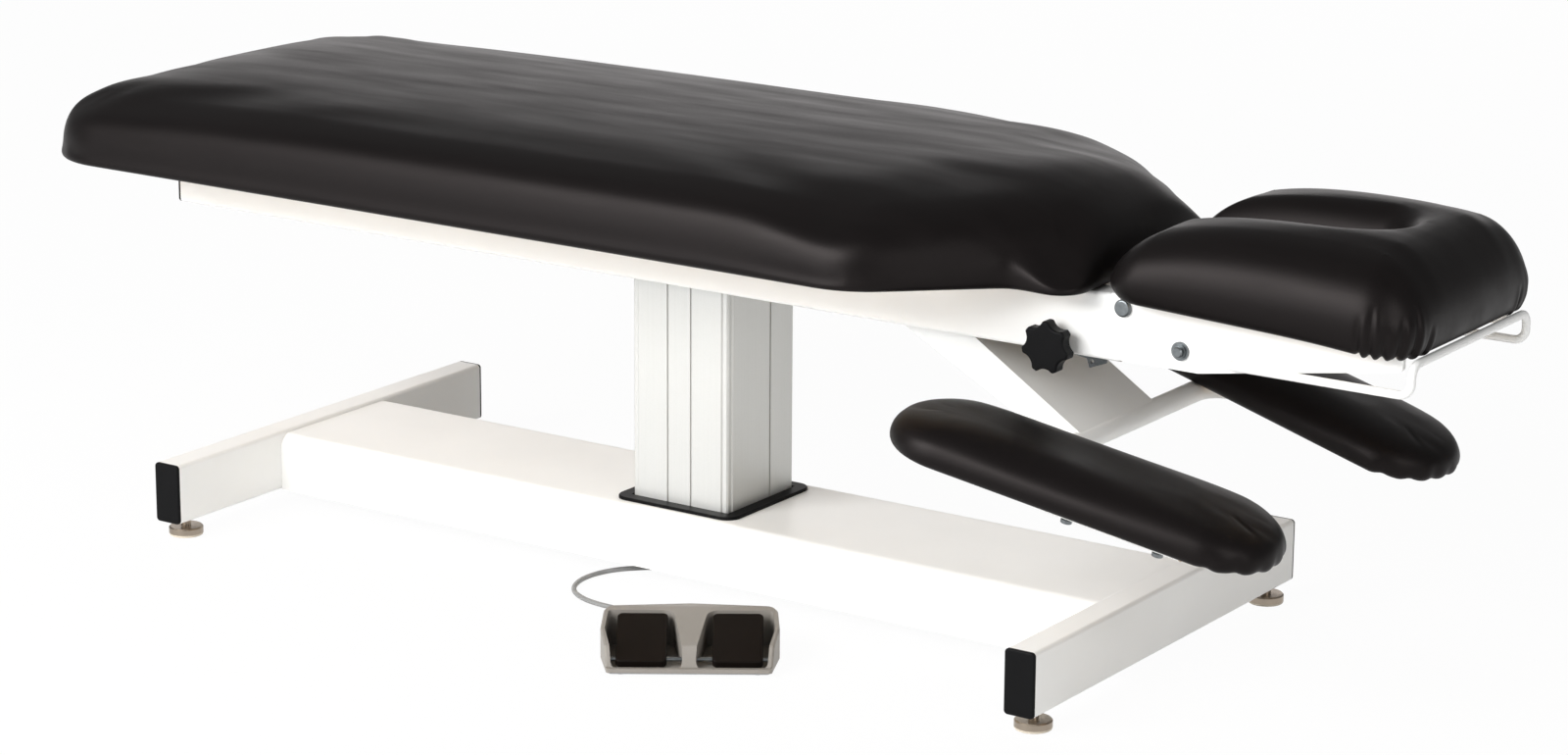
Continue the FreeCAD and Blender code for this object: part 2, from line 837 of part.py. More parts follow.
# Top frame: two rails joined by three cross members and the column's head plate
def rail(label, side):
    body = tube_body(label, "YZ_Plane", "beam_width", "beam_height", "tube_wall",
                     "rail_foot_reach + rail_head_reach")
    middle = (s.rail_head_reach - s.rail_foot_reach) / 2
    level = s.rail_clearance + s.beam_height / 2
    pin = new_sketch(body, "XZ_Plane", x=s.arm_pivot_reach - middle, y=s.arm_pivot_level - level)
    add_circle(pin, "arm_pin")
    pocket(body, pin)
    if side < 0:
        stud = new_sketch(body, "XZ_Plane", x=stud_x - middle, y=s.stud_level - level)
        add_circle(stud, "stud")
        pocket(body, stud)
    return node(body, middle, side * rail_y, level)


rail("rail_near", -1)
rail("rail_far", 1)


def cross_members():
    solids = []
    for x in (-s.cross_member_foot, -s.cross_member_middle, s.cross_member_head):
        outer = Part.makeBox(s.beam_width, s.rail_gap, s.beam_width)
        inner = Part.makeBox(s.beam_width - 2 * s.tube_wall, s.rail_gap, s.beam_width - 2 * s.tube_wall)
        inner.translate(Vector(s.tube_wall, 0, s.tube_wall))
        member = outer.cut(inner)
        member.translate(Vector(x - s.beam_width / 2, -s.rail_gap / 2, rail_top - s.beam_width))
        solids.append(member)
    return shape_node("cross_members", Part.makeCompound(solids))


cross_members()


def column_head_plate():
    body = new_body("column_head_plate")
    outline = new_sketch(body, "XY_Plane")
    add_rectangle(outline, "head_plate_length", "rail_gap")
    pad(body, outline, "seat_plate")
    return node(body, 0, 0, plate_level)


column_head_plate()


def rail_end_caps():
    half_width = s.beam_width / 2
    half_height = s.beam_height / 2
    flange = slab([
        (-half_height, -half_width, s.tube_corner),
        (half_height, -half_width, s.tube_corner),
        (half_height, half_width, s.tube_corner),
        (-half_height, half_width, s.tube_corner),
    ], s.cap_flange)
    rim = [edge for edge in flange.Edges if edge.CenterOfMass.z > s.cap_flange - s.pin_gap]
    flange = flange.makeFillet(s.cap_flange / 2, rim)
    inner_height = half_height - s.tube_wall
    inner_width_half = half_width - s.tube_wall
    plug = slab([
        (-inner_height, -inner_width_half, 0),
        (inner_height, -inner_width_half, 0),
        (inner_height, inner_width_half, 0),
        (-inner_height, inner_width_half, 0),
    ], s.cap_plug)
    plug.translate(Vector(0, 0, -s.cap_plug))
    cap = flange.fuse(plug)
    level = s.rail_clearance + half_height
    places = [Placement(Vector(-s.rail_foot_reach, side * rail_y, level), Rotation(Y_AXIS, -90))
              for side in (-1, 1)]
    return copies("rail_end_caps", cap, places)


rail_end_caps()


# Plan of the main cushion: square foot end, wide body, tapered shoulders, narrow head end
def cushion_plan(inset, share):
    half = s.cushion_width / 2 - inset
    neck = s.neck_width / 2 - inset
    slant = math.atan2(s.cushion_width / 2 - s.neck_width / 2, s.neck_reach - s.shoulder_reach)
    shift = inset * math.tan(slant / 2)
    shoulder_x = s.shoulder_reach - shift
    neck_x = s.neck_reach - shift
    foot_x = -s.cushion_foot_reach + inset * (1 + share * s.foot_end_share)
    head_x = s.cushion_head_reach - inset
    foot_corner = max(s.foot_end_corner - inset / 2, s.tube_corner)
    head_corner = max(s.head_end_corner - inset / 2, s.tube_corner)
    near_side = [
        (foot_x, -half, foot_corner),
        (shoulder_x, -half, s.shoulder_corner),
        (neck_x, -neck, s.neck_corner),
        (head_x, -neck, head_corner),
    ]
    far_side = [(x, -y, corner) for x, y, corner in reversed(near_side)]
    return near_side + far_side


# A padded block on its board: outlines stacked by level, a domed top, a recess below
def cushion(plan, height, roll, crown, half_width, reach, tilt=0.0):
    wires = []
    for level, share in zip(CUSHION_LEVEL_SHARES, CUSHION_INSET_SHARES):
        section = wire(plan(roll * share, share))
        section.translate(Vector(0, 0, s.board_gap + level * (height - s.board_gap)))
        section.rotate(Vector(0, 0, 0), Y_AXIS, -level * tilt)
        wires.append(section)
    pillow = Part.makeLoft(wires, True, False)
    dome_radius = half_width ** 2 / (2 * crown)
    dome = cylinder(dome_radius, 2 * reach, Vector(-reach, 0, height - dome_radius), X_AXIS)
    dome.rotate(Vector(0, 0, 0), Y_AXIS, -tilt)
    recess = slab(plan(s.board_inset - s.board_gap, 0), s.board + s.board_gap)
    return pillow.common(dome).cut(recess)


def main_cushion():
    solid = cushion(cushion_plan, s.cushion_height, s.cushion_roll, s.cushion_crown,
                    s.cushion_width / 2, 2 * s.cushion_foot_reach)
    return shape_node("main_cushion", solid, Placement(Vector(0, 0, rail_top), Rotation()))


def deck_board():
    board = slab(cushion_plan(s.board_inset, 0), s.board)
    return shape_node("deck_board", board, Placement(Vector(0, 0, rail_top), Rotation()))


deck_board()
main_cushion()


# Solid block in each rail's head end that carries the headpiece's hinge bolt
def hinge_blocks():
    width = s.beam_width - 2 * s.tube_wall
    start = hinge_x - s.hinge_block_length
    radius = s.hinge_radius
    bar = Part.makeBox(s.hinge_block_length, width, 2 * radius)
    bar.translate(Vector(start, -width / 2, -radius))
    end = cylinder(radius, width, Vector(hinge_x, -width / 2, 0), Y_AXIS)
    bore = cylinder(s.hinge_pin + s.pin_gap, width, Vector(hinge_x, -width / 2, 0), Y_AXIS)
    block = bar.fuse(end).cut(bore).removeSplitter()
    places = [Placement(Vector(0, side * rail_y, hinge_z), Rotation()) for side in (-1, 1)]
    return copies("hinge_blocks", block, places)


hinge_blocks()

# Underside of the headpiece board: it falls towards the head end
tilt = math.radians(s.headpiece_tilt)


def board_level(x):
    return s.headpiece_bottom - (x - s.headpiece_start) * math.tan(tilt)


# Tapered steel plate on each side, from the hinge to the head end
def side_plate(label, side):
    body = new_body(label)
    outline = new_sketch(body, "XZ_Plane")
    add_outline(outline, [
        (s.side_plate_start - hinge_x, s.side_plate_level - hinge_z, s.side_plate_corner),
        (s.side_plate_knee - hinge_x, s.side_plate_level - hinge_z, 2 * s.side_plate_corner),
        (s.side_plate_end - hinge_x, s.side_plate_tip - hinge_z, s.side_plate_corner),
        (s.side_plate_end - hinge_x, board_level(s.side_plate_end) - hinge_z, 0),
        (s.side_plate_start - hinge_x, board_level(s.side_plate_start) - hinge_z, 0),
    ])
    pad(body, outline, "side_plate", symmetric=True)
    holes = (
        (0, 0, "hinge_pin"),
        (s.cross_pin_reach, -s.cross_pin_drop, "hinge_pin"),
        (s.bail_pivot - hinge_x, s.bail_level - hinge_z, "bail_rod + pin_gap"),
    )
    for x, z, radius in holes:
        hole = new_sketch(body, "XZ_Plane", x=x, y=z)
        add_circle(hole, radius)
        pocket(body, hole)
    return node(body, hinge_x, side * (plate_y + s.side_plate / 2), hinge_z)


for name, side in SIDES:
    side_plate(f"head_side_plate_{name}", side)


# Plan of the headpiece: a horseshoe whose face slot opens towards the table
def headpiece_plan(inset, share):
    slot_inset = inset * (1 - share * s.slot_steep_share)
    length = s.headpiece_length - inset
    half = s.headpiece_width / 2 - inset
    slot = s.slot_width / 2 + slot_inset
    reach = s.slot_length + slot_inset
    outer = min(s.headpiece_table_corner - inset / 2, (half - slot) / 2)
    lip = min(s.headpiece_table_corner, half - slot) * s.slot_lip_share
    head_corner = s.headpiece_head_corner - inset / 2
    end_corner = slot - s.board_gap
    return [
        (inset, -half, outer),
        (length, -half, head_corner),
        (length, half, head_corner),
        (inset, half, outer),
        (inset, slot, lip),
        (reach, slot, end_corner),
        (reach, -slot, end_corner),
        (inset, -slot, lip),
    ]


headpiece_place = Placement(Vector(s.headpiece_start, 0, s.headpiece_bottom), Rotation(Y_AXIS, s.headpiece_tilt))


def head_cushion():
    solid = cushion(headpiece_plan, s.headpiece_height, s.headpiece_roll, s.headpiece_crown,
                    s.headpiece_width / 2, 2 * s.headpiece_length, s.headpiece_tilt)
    return shape_node("headpiece_cushion", solid, headpiece_place)


def head_board():
    return shape_node("headpiece_board", slab(headpiece_plan(s.board_inset, 0), s.board), headpiece_place)


head_board()
head_cushion()


# Hinge bolts, and the cross pin with two washers outside each plate
def hinge_bolts():
    length = plate_outer - rail_face + s.beam_width - s.tube_wall
    shank = cylinder(s.hinge_pin, length, Vector(0, 0, 0), Y_AXIS)
    head = cylinder(s.bolt_head, s.bolt_head_height, Vector(0, -s.bolt_head_height, 0), Y_AXIS)
    rim = [edge for edge in head.Edges if edge.CenterOfMass.y < -s.bolt_head_height + s.pin_gap]
    head = head.makeFillet(s.bolt_head_height / 2, rim)
    bolt = shank.fuse(head)
    places = [
        Placement(Vector(hinge_x, -plate_outer, hinge_z), Rotation()),
        Placement(Vector(hinge_x, plate_outer, hinge_z), Rotation(Z_AXIS, 180)),
    ]
    return copies("hinge_bolts", bolt, places)


def cross_pin():
    half = plate_outer + s.cross_pin_overhang
    pin = cylinder(s.hinge_pin, 2 * half, Vector(cross_pin_x, -half, cross_pin_z), Y_AXIS)
    ends = [edge for edge in pin.Edges if not is_line(edge)]
    solids = [pin.makeChamfer(s.washer / 2, ends)]
    for side in (-1, 1):
        start = plate_outer
        for radius in (s.washer_radius, s.small_washer_radius):
            base = Vector(cross_pin_x, side * start, cross_pin_z)
            disc = cylinder(radius, s.washer, base, Y_AXIS * side)
            solids.append(disc.cut(cylinder(s.hinge_pin, s.washer, base, Y_AXIS * side)))
            start += s.washer
    return shape_node("cross_pin", Part.makeCompound(solids))


hinge_bolts()
cross_pin()


# Round rod swept along a path of straight runs joined by tangent arcs
def bent_path(points, radii):
    edges = []
    start = points[0]
    for index in range(1, len(points) - 1):
        here = points[index]
        into = (points[index - 1] - here).normalize()
        out = (points[index + 1] - here).normalize()
        half_turn = (math.pi - into.getAngle(out)) / 2
        reach = radii[index - 1] * math.tan(half_turn)
        first = here + into * reach
        last = here + out * reach
        middle = here + (into + out).normalize() * (radii[index - 1] / math.cos(half_turn) - radii[index - 1])
        if (first - start).Length > s.pin_gap:
            edges.append(Part.LineSegment(start, first).toShape())
        edges.append(Part.Arc(first, middle, last).toShape())
        start = last
    edges.append(Part.LineSegment(start, points[-1]).toShape())
    return Part.Wire(edges)


def swept(path, radius):
    direction = path.Edges[0].tangentAt(path.Edges[0].FirstParameter)
    circle = Part.Wire(Part.makeCircle(radius, path.Edges[0].Vertexes[0].Point, direction))
    return path.makePipeShell([circle], True, False)


# Release bail: a bent rod hooked into both plates, its bar under the head end
def release_bail():
    half = s.bail_width / 2
    low = s.bail_level
    high = s.bail_level + s.bail_rise
    points = [
        Vector(s.bail_pivot, -plate_y, low),
        Vector(s.bail_pivot, -half, low),
        Vector(s.bail_reach, -half, low),
        Vector(s.bail_reach, -half, high),
        Vector(s.bail_reach, half, high),
        Vector(s.bail_reach, half, low),
        Vector(s.bail_pivot, half, low),
        Vector(s.bail_pivot, plate_y, low),
    ]
    radii = [s.bail_hook_bend, s.bail_bend, s.bail_bend, s.bail_bend, s.bail_bend, s.bail_hook_bend]
    return shape_node("release_bail", swept(bent_path(points, radii), s.bail_rod))


release_bail()

# Gas spring from the anchor between the rails to the cross pin
spring_run = Vector(cross_pin_x - s.anchor_reach, 0, cross_pin_z - s.anchor_level)
spring_pitch = math.degrees(math.atan2(spring_run.z, spring_run.x))
spring_place = Placement(Vector(s.anchor_reach, 0, s.anchor_level), Rotation(Y_AXIS, -spring_pitch))


def spring_anchor():
    tube = s.anchor_tube
    tube_x = s.anchor_reach - s.anchor_arm
    outer = Part.makeBox(tube, s.rail_gap, tube)
    inner = Part.makeBox(tube - 2 * s.tube_wall, s.rail_gap, tube - 2 * s.tube_wall)
    inner.translate(Vector(s.tube_wall, 0, s.tube_wall))
    member = outer.cut(inner)
    member.translate(Vector(tube_x - tube / 2, -s.rail_gap / 2, s.anchor_level + s.anchor_rise - tube / 2))
    gap = s.spring_eye_width / 2 + s.slide_gap
    pieces = []
    for side in (-1, 1):
        ear = Part.makeBox(s.anchor_arm - tube / 2, s.ear, 2 * s.ear_radius)
        ear.translate(Vector(tube_x + tube / 2, 0, s.anchor_level - s.ear_radius))
        tip = cylinder(s.ear_radius, s.ear, Vector(s.anchor_reach, 0, s.anchor_level), Y_AXIS)
        ear = ear.fuse(tip)
        ear.translate(Vector(0, gap if side > 0 else -gap - s.ear, 0))
        pieces.append(ear)
    length = 2 * (gap + s.ear)
    pieces.append(cylinder(s.anchor_pin, length, Vector(s.anchor_reach, -length / 2, s.anchor_level), Y_AXIS))
    return shape_node("spring_anchor", member.fuse(pieces).removeSplitter())


spring_anchor()


def gas_spring_cylinder():
    half = s.spring_eye_width / 2
    eye = cylinder(s.spring_eye, s.spring_eye_width, Vector(0, -half, 0), Y_AXIS)
    neck = cylinder(s.spring_neck_radius, s.spring_neck, Vector(0, 0, 0), X_AXIS)
    body = cylinder(s.spring_radius, s.spring_length, Vector(s.spring_neck, 0, 0), X_AXIS)
    rims = [edge for edge in body.Edges if not is_line(edge)]
    body = body.makeFillet(s.washer, rims)
    bore = cylinder(s.spring_rod + s.pin_gap, s.spring_length, Vector(2 * s.spring_neck, 0, 0), X_AXIS)
    pin_hole = cylinder(s.anchor_pin + s.pin_gap, s.spring_eye_width, Vector(0, -half, 0), Y_AXIS)
    solid = body.fuse([neck, eye]).cut(bore).cut(pin_hole)
    return shape_node("gas_spring_cylinder", solid, spring_place)


def gas_spring_rod():
    half = s.spring_eye_width / 2
    end = spring_run.Length
    start = s.spring_neck + s.spring_length - s.spring_overlap
    rod = cylinder(s.spring_rod, end - s.rod_eye + s.washer - start, Vector(start, 0, 0), X_AXIS)
    eye = cylinder(s.rod_eye, s.spring_eye_width, Vector(end, -half, 0), Y_AXIS)
    bore = cylinder(s.hinge_pin + s.rod_eye_play, s.spring_eye_width, Vector(end, -half, 0), Y_AXIS)
    return shape_node("gas_spring_rod", rod.fuse(eye).cut(bore), spring_place)


gas_spring_cylinder()
gas_spring_rod()


# Arm rests hang on a bracket that turns on a pin between the rails
def arm_pivot_pin():
    length = 2 * (rail_face - s.side_plate_gap)
    start = Vector(s.arm_pivot_reach, -length / 2, s.arm_pivot_level)
    return shape_node("arm_pivot_pin", cylinder(s.arm_pin, length, start, Y_AXIS))


arm_pivot_pin()


# Tapered channel: a web on top, a flange down each side, saddled onto the arm tube
def arm_bracket():
    body = new_body("arm_bracket")
    end = s.arm_cross_along
    top = s.bracket_rise
    outline = new_sketch(body, "XZ_Plane")
    add_outline(outline, [
        (-s.bracket_tail, top, 2 * s.side_plate_corner),
        (end, top, 0),
        (end, top - s.bracket_end_depth, 0),
        (-s.bracket_tail, top - s.bracket_depth, 2 * s.side_plate_corner),
    ])
    pad(body, outline, "bracket_width", symmetric=True)
    inside = new_sketch(body, "XZ_Plane")
    add_outline(inside, [
        (-2 * s.bracket_tail, top - s.bracket_wall, 0),
        (2 * end, top - s.bracket_wall, 0),
        (2 * end, top - 2 * s.bracket_depth, 0),
        (-2 * s.bracket_tail, top - 2 * s.bracket_depth, 0),
    ])
    pocket(body, inside, "bracket_width - 2 * bracket_wall", symmetric=True)
    saddle = new_sketch(body, "XZ_Plane", x=end, y=s.arm_cross_above)
    add_circle(saddle, "tube_radius")
    pocket(body, saddle)
    pivot = new_sketch(body, "XZ_Plane")
    add_circle(pivot, "arm_pin + pin_gap")
    pocket(body, pivot)
    return node(body, s.arm_pivot_reach, 0, s.arm_pivot_level, Rotation(Y_AXIS, s.bracket_slope))


arm_bracket()

# The arm tube's own frame: origin at the middle of its cross part, its legs along X
slope = math.radians(s.bracket_slope)
arm_x = s.arm_pivot_reach + s.arm_cross_along * math.cos(slope) + s.arm_cross_above * math.sin(slope)
arm_z = s.arm_pivot_level - s.arm_cross_along * math.sin(slope) + s.arm_cross_above * math.cos(slope)
arm_place = Placement(Vector(arm_x, 0, arm_z), Rotation(Y_AXIS, s.arm_slope))
toe = math.radians(s.arm_toe)
arm_length = s.pad_bolt_first + s.pad_bolt_pitch + s.pad_bolt_end


# A point on an arm: run along the leg from its corner, side -1 near or 1 far, level above
def on_arm(run, side, level, inward=0.0):
    x = run * math.cos(toe) - inward * math.sin(toe)
    y = s.arm_corner_half - run * math.sin(toe) - inward * math.cos(toe)
    return Vector(x, side * y, level)


def arm_rotation(side):
    return Rotation(Z_AXIS, -side * s.arm_toe)


def arm_tube():
    points = [on_arm(arm_length, -1, 0), on_arm(0, -1, 0), on_arm(0, 1, 0), on_arm(arm_length, 1, 0)]
    path = bent_path(points, [s.arm_bend, s.arm_bend])
    outer = swept(path, s.tube_radius)
    inner = swept(path, s.tube_radius - s.arm_tube_wall)
    tube = outer.cut(inner)
    for side in (-1, 1):
        for run in (s.pad_bolt_first, s.pad_bolt_first + s.pad_bolt_pitch):
            tube = tube.cut(cylinder(s.pad_bolt, 2 * s.tube_radius, on_arm(run, side, -s.tube_radius), Z_AXIS))
    return shape_node("arm_tube", tube, arm_place)


arm_tube()


def arm_tube_plugs():
    solids = []
    for side in (-1, 1):
        direction = on_arm(1, side, 0) - on_arm(0, side, 0)
        end = on_arm(arm_length, side, 0)
        flange = cylinder(s.tube_radius, s.plug_flange, end, direction)
        rim = [edge for edge in flange.Edges if (edge.CenterOfMass - end).dot(direction) > s.plug_flange - s.pin_gap]
        flange = flange.makeFillet(s.plug_flange / 2, rim)
        plug = cylinder(s.tube_radius - s.arm_tube_wall, s.plug_length, end - direction * s.plug_length, direction)
        solids.append(flange.fuse(plug))
    return shape_node("arm_tube_plugs", Part.makeCompound(solids), arm_place)


arm_tube_plugs()


# Plan of an arm pad along its own leg, centred on it: a long shape with round ends
def pad_plan(inset, share):
    half_length = s.pad_length / 2 - inset
    half_width = s.pad_width / 2 - inset
    corner = half_width - s.pad_width / 2 + s.pad_end_corner
    return [
        (-half_length, -half_width, corner),
        (half_length, -half_width, corner),
        (half_length, half_width, corner),
        (-half_length, half_width, corner),
    ]


def pad_place(side):
    return Placement(on_arm(s.pad_shift, side, s.tube_radius, s.pad_inset), arm_rotation(side))


def arm_boards():
    solids = []
    for side in (-1, 1):
        board = slab(pad_plan(s.board_inset, 0), s.board)
        board.Placement = pad_place(side)
        for run in (s.pad_bolt_first, s.pad_bolt_first + s.pad_bolt_pitch):
            board = board.cut(cylinder(s.pad_bolt, s.board, on_arm(run, side, s.tube_radius), Z_AXIS))
        solids.append(board)
    return shape_node("arm_boards", Part.makeCompound(solids), arm_place)


def arm_pad(label, side):
    solid = cushion(pad_plan, s.pad_height, s.pad_roll, s.pad_crown, s.pad_width / 2, s.pad_length)
    return shape_node(label, solid, arm_place.multiply(pad_place(side)))


def arm_bolts():
    solids = []
    for side in (-1, 1):
        for run in (s.pad_bolt_first, s.pad_bolt_first + s.pad_bolt_pitch):
            under = on_arm(run, side, -s.tube_radius)
            shank = cylinder(s.pad_bolt, 2 * s.tube_radius + s.board, under, Z_AXIS)
            head = cylinder(s.pad_bolt_head, s.pad_bolt_head_height, under, Z_AXIS * -1)
            solids.append(shank.fuse(head))
    return shape_node("arm_bolts", Part.makeCompound(solids), arm_place)


arm_boards()
for name, side in SIDES:
    arm_pad(f"arm_pad_{name}", side)
arm_bolts()


# Slotted quadrant on the bracket, which the star knob clamps to the near rail
def polar(radius, angle):
    return radius * math.cos(math.radians(angle)), radius * math.sin(math.radians(angle))


def arc_band(inner, outer, low, high):
    middle = (low + high) / 2
    corners = [polar(inner, low), polar(outer, low), polar(outer, high), polar(inner, high)]
    low_in, low_out, high_out, high_in = [Vector(x, z, 0) for x, z in corners]
    outer_middle = Vector(*polar(outer, middle), 0)
    inner_middle = Vector(*polar(inner, middle), 0)
    edges = [
        Part.LineSegment(low_in, low_out),
        Part.Arc(low_out, outer_middle, high_out),
        Part.LineSegment(high_out, high_in),
        Part.Arc(high_in, inner_middle, low_in),
    ]
    return edges


def lock_quadrant():
    body = new_body("lock_quadrant")
    radius = math.hypot(stud_x - s.arm_pivot_reach, s.stud_level - s.arm_pivot_level)
    rest = math.degrees(math.atan2(s.stud_level - s.arm_pivot_level, stud_x - s.arm_pivot_reach))
    inner = radius - s.quadrant_inner_band
    outer = radius + s.quadrant_outer_band
    band = new_sketch(body, "XZ_Plane")
    band.addGeometry(arc_band(inner, outer, -s.quadrant_low_angle, s.quadrant_high_angle))
    pad(body, band, "quadrant")
    arm = new_sketch(body, "XZ_Plane")
    half = s.quadrant_arm
    reach = inner + half / 2
    add_outline(arm, [
        (-half, -half, half - s.pin_gap),
        (reach, -s.quadrant_arm_low, 0),
        (reach, s.quadrant_arm_high, 0),
        (-half, half, half - s.pin_gap),
    ])
    pad(body, arm, "quadrant")
    tab = new_sketch(body, "XZ_Plane")
    tab_x = radius + s.lug_band
    tab_end = outer - s.lug_corner
    add_outline(tab, [
        (tab_x, -s.lug_drop, s.lug_corner),
        (tab_end, s.lug_slant - s.lug_drop, s.lug_corner),
        (tab_end, -s.quadrant_arm, 0),
        (tab_x - s.lug_slant, -s.quadrant_arm, 0),
    ])
    pad(body, tab, "quadrant")
    half_slot = s.stud + s.slot_clearance
    slot = new_sketch(body, "XZ_Plane")
    slot.addGeometry(arc_band(radius - half_slot, radius + half_slot, rest - s.slot_low_angle, rest + s.slot_high_angle))
    pocket(body, slot)
    lug_hole = new_sketch(body, "XZ_Plane", x=radius + s.lug_hole_band, y=-s.lug_hole_drop)
    add_circle(lug_hole, "lug_hole")
    pocket(body, lug_hole)
    pivot = new_sketch(body, "XZ_Plane")
    add_circle(pivot, "arm_pin + pin_gap")
    pocket(body, pivot)
    return node(body, s.arm_pivot_reach, -s.bracket_width / 2, s.arm_pivot_level)


lock_quadrant()


# Lock stud: a bolt whose head sits behind the quadrant, its end deep in the knob
def lock_stud():
    head_face = -s.bracket_width / 2 + s.slide_gap
    head = cylinder(s.stud_head, s.stud_head_height, Vector(stud_x, head_face, s.stud_level), Y_AXIS)
    length = rail_face + s.knob_gap + s.knob_hub_height + s.stud_depth + head_face
    shank = cylinder(s.stud, length, Vector(stud_x, head_face, s.stud_level), Y_AXIS * -1)
    return shape_node("lock_stud", head.fuse(shank))


lock_stud()


def is_lobe_corner(edge):
    middle = edge.CenterOfMass
    return along(edge, Y_AXIS) and math.hypot(middle.x, middle.z) > s.knob_radius - s.knob_tip


# Star knob: a disc with seven scallops cut round it, on a hub, bored for the stud
def star_knob():
    body = new_body("star_knob")
    hub = new_sketch(body, "XZ_Plane")
    add_circle(hub, "knob_hub")
    pad(body, hub, "knob_hub_height")
    disc = new_sketch(body, "XZ_Plane", offset=s.knob_hub_height)
    add_circle(disc, "knob_radius")
    pad(body, disc, "knob_height")
    phase = math.pi / 2 / KNOB_LOBES
    cut_x = s.knob_cut_offset * math.cos(phase)
    cut_z = s.knob_cut_offset * math.sin(phase)
    cut = new_sketch(body, "XZ_Plane", x=cut_x, y=cut_z, offset=s.knob_hub_height - s.pin_gap)
    add_circle(cut, "knob_cut")
    scallop = pocket(body, cut, "knob_height + 2 * pin_gap", reverse=True)
    ring = body.newObject("PartDesign::PolarPattern", "star_knob_lobes")
    ring.Originals = [scallop]
    ring.Axis = ([item for item in body.Origin.OriginFeatures if item.Role == "Y_Axis"][0], [""])
    ring.Angle = 360
    ring.Occurrences = KNOB_LOBES
    body.Tip = ring
    doc.recompute()
    tips = round_edges(body, ring, "knob_tip", is_lobe_corner)
    back = s.knob_hub_height + s.knob_height
    round_edges(body, tips, "knob_edge", lambda edge: abs(edge.CenterOfMass.y) > back - s.pin_gap)
    bore = new_sketch(body, "XZ_Plane")
    add_circle(bore, "stud + pin_gap")
    pocket(body, bore, "knob_hub_height + stud_depth + slide_gap", reverse=True)
    return node(body, stud_x, -rail_face - s.knob_gap, s.stud_level)


star_knob()


# Foot switch: a low moulded housing with two rocker pedals, on its own turned frame
switch_place = Placement(Vector(s.switch_reach, -s.switch_side, 0), Rotation(Z_AXIS, s.switch_turn))
half_depth = s.switch_depth / 2
housing_base = s.switch_rubber + s.switch_plate
TOP_PROFILE = [
    (-half_depth, s.switch_front_height),
    (-half_depth + s.switch_lip, s.switch_front_height),
    (-half_depth + s.switch_nose, s.switch_nose_height),
    (half_depth - s.switch_corner, s.switch_height),
]
gland_start = Vector(0, s.gland_reach - s.gland_length, s.cord_exit_height)


def housing_plan(inset):
    front = s.switch_front_width / 2 - inset
    middle = s.switch_middle_width / 2 - inset
    back = s.switch_back_width / 2 - inset
    deep = half_depth - inset
    return [
        (-front, -deep, s.switch_front_corner),
        (front, -deep, s.switch_front_corner),
        (middle, 0, s.switch_side_corner),
        (back, deep - s.switch_bow, s.switch_side_corner),
        (0, deep + s.switch_bow, s.switch_back_corner),
        (-back, deep - s.switch_bow, s.switch_side_corner),
        (-middle, 0, s.switch_side_corner),
    ]


def pedal_housing():
    body = new_body("pedal_housing")
    outline = new_sketch(body, "XY_Plane", offset=housing_base)
    add_outline(outline, housing_plan(0))
    pad(body, outline, "switch_height")
    profile = new_sketch(body, "YZ_Plane")
    (_, low), (lip_y, _), (nose_y, nose), (break_y, high) = TOP_PROFILE
    add_outline(profile, [
        (-2 * half_depth, low, 0),
        (lip_y, low, 0),
        (nose_y, nose, s.switch_nose_blend),
        (break_y, high, s.switch_blend),
        (2 * half_depth, high, 0),
        (2 * half_depth, 2 * high, 0),
        (-2 * half_depth, 2 * high, 0),
    ])
    sloped = pocket(body, profile)
    bevel_edges(body, sloped, "switch_edge", is_top_rim)
    for side in (-1, 1):
        well = new_sketch(body, "XY_Plane", offset=s.well_floor)
        add_outline(well, well_plan(side))
        pocket(body, well, "switch_height", reverse=True)
    pin = new_sketch(body, "YZ_Plane", x=-s.axle_side, y=s.axle_level)
    add_circle(pin, "axle")
    pocket(body, pin, "axle_length", symmetric=True)
    gland = new_sketch(body, "XZ_Plane", y=s.cord_exit_height, offset=s.gland_length - s.gland_reach)
    add_circle(gland, "gland_radius")
    pocket(body, gland, "2 * gland_length")
    item = node(body)
    item.Placement = switch_place
    return item


# One well in plan: thin walls outside, a rib between the two that widens towards the back
def well_plan(side):
    front = s.switch_front_width / 2 - s.switch_wall
    middle = s.switch_middle_width / 2 - s.switch_wall
    back = s.switch_back_width / 2 - s.switch_wall
    points = [
        (s.rib_front / 2, s.switch_lip - half_depth, s.well_corner),
        (front, s.switch_lip - half_depth, s.well_corner),
        (middle, 0, s.well_corner),
        (back, s.well_back, s.well_corner),
        (s.rib_back / 2, s.well_back, s.well_back_corner),
    ]
    if side < 0:
        points = [(-x, y, radius) for x, y, radius in reversed(points)]
    return points


def is_top_rim(edge):
    return edge.CenterOfMass.z > s.switch_nose_height + s.switch_edge and not along(edge, X_AXIS)


pedal_housing()
plate_place = switch_place.multiply(Placement(Vector(0, 0, s.switch_rubber), Rotation()))
shape_node("pedal_base", slab(housing_plan(s.switch_plate_inset), s.switch_plate), plate_place)


def pedal_rubber_feet():
    x = s.switch_front_width / 2 - s.switch_side_corner
    y = half_depth - s.switch_side_corner
    discs = [cylinder(s.switch_rubber_radius, s.switch_rubber, Vector(side * x, end * y, 0), Z_AXIS)
             for side in (-1, 1) for end in (-1, 1)]
    return shape_node("pedal_rubber_feet", Part.makeCompound(discs), switch_place)


pedal_rubber_feet()
axle_start = Vector(-s.axle_length / 2, -s.axle_side, s.axle_level)
shape_node("pedal_axle", cylinder(s.axle, s.axle_length, axle_start, X_AXIS), switch_place)


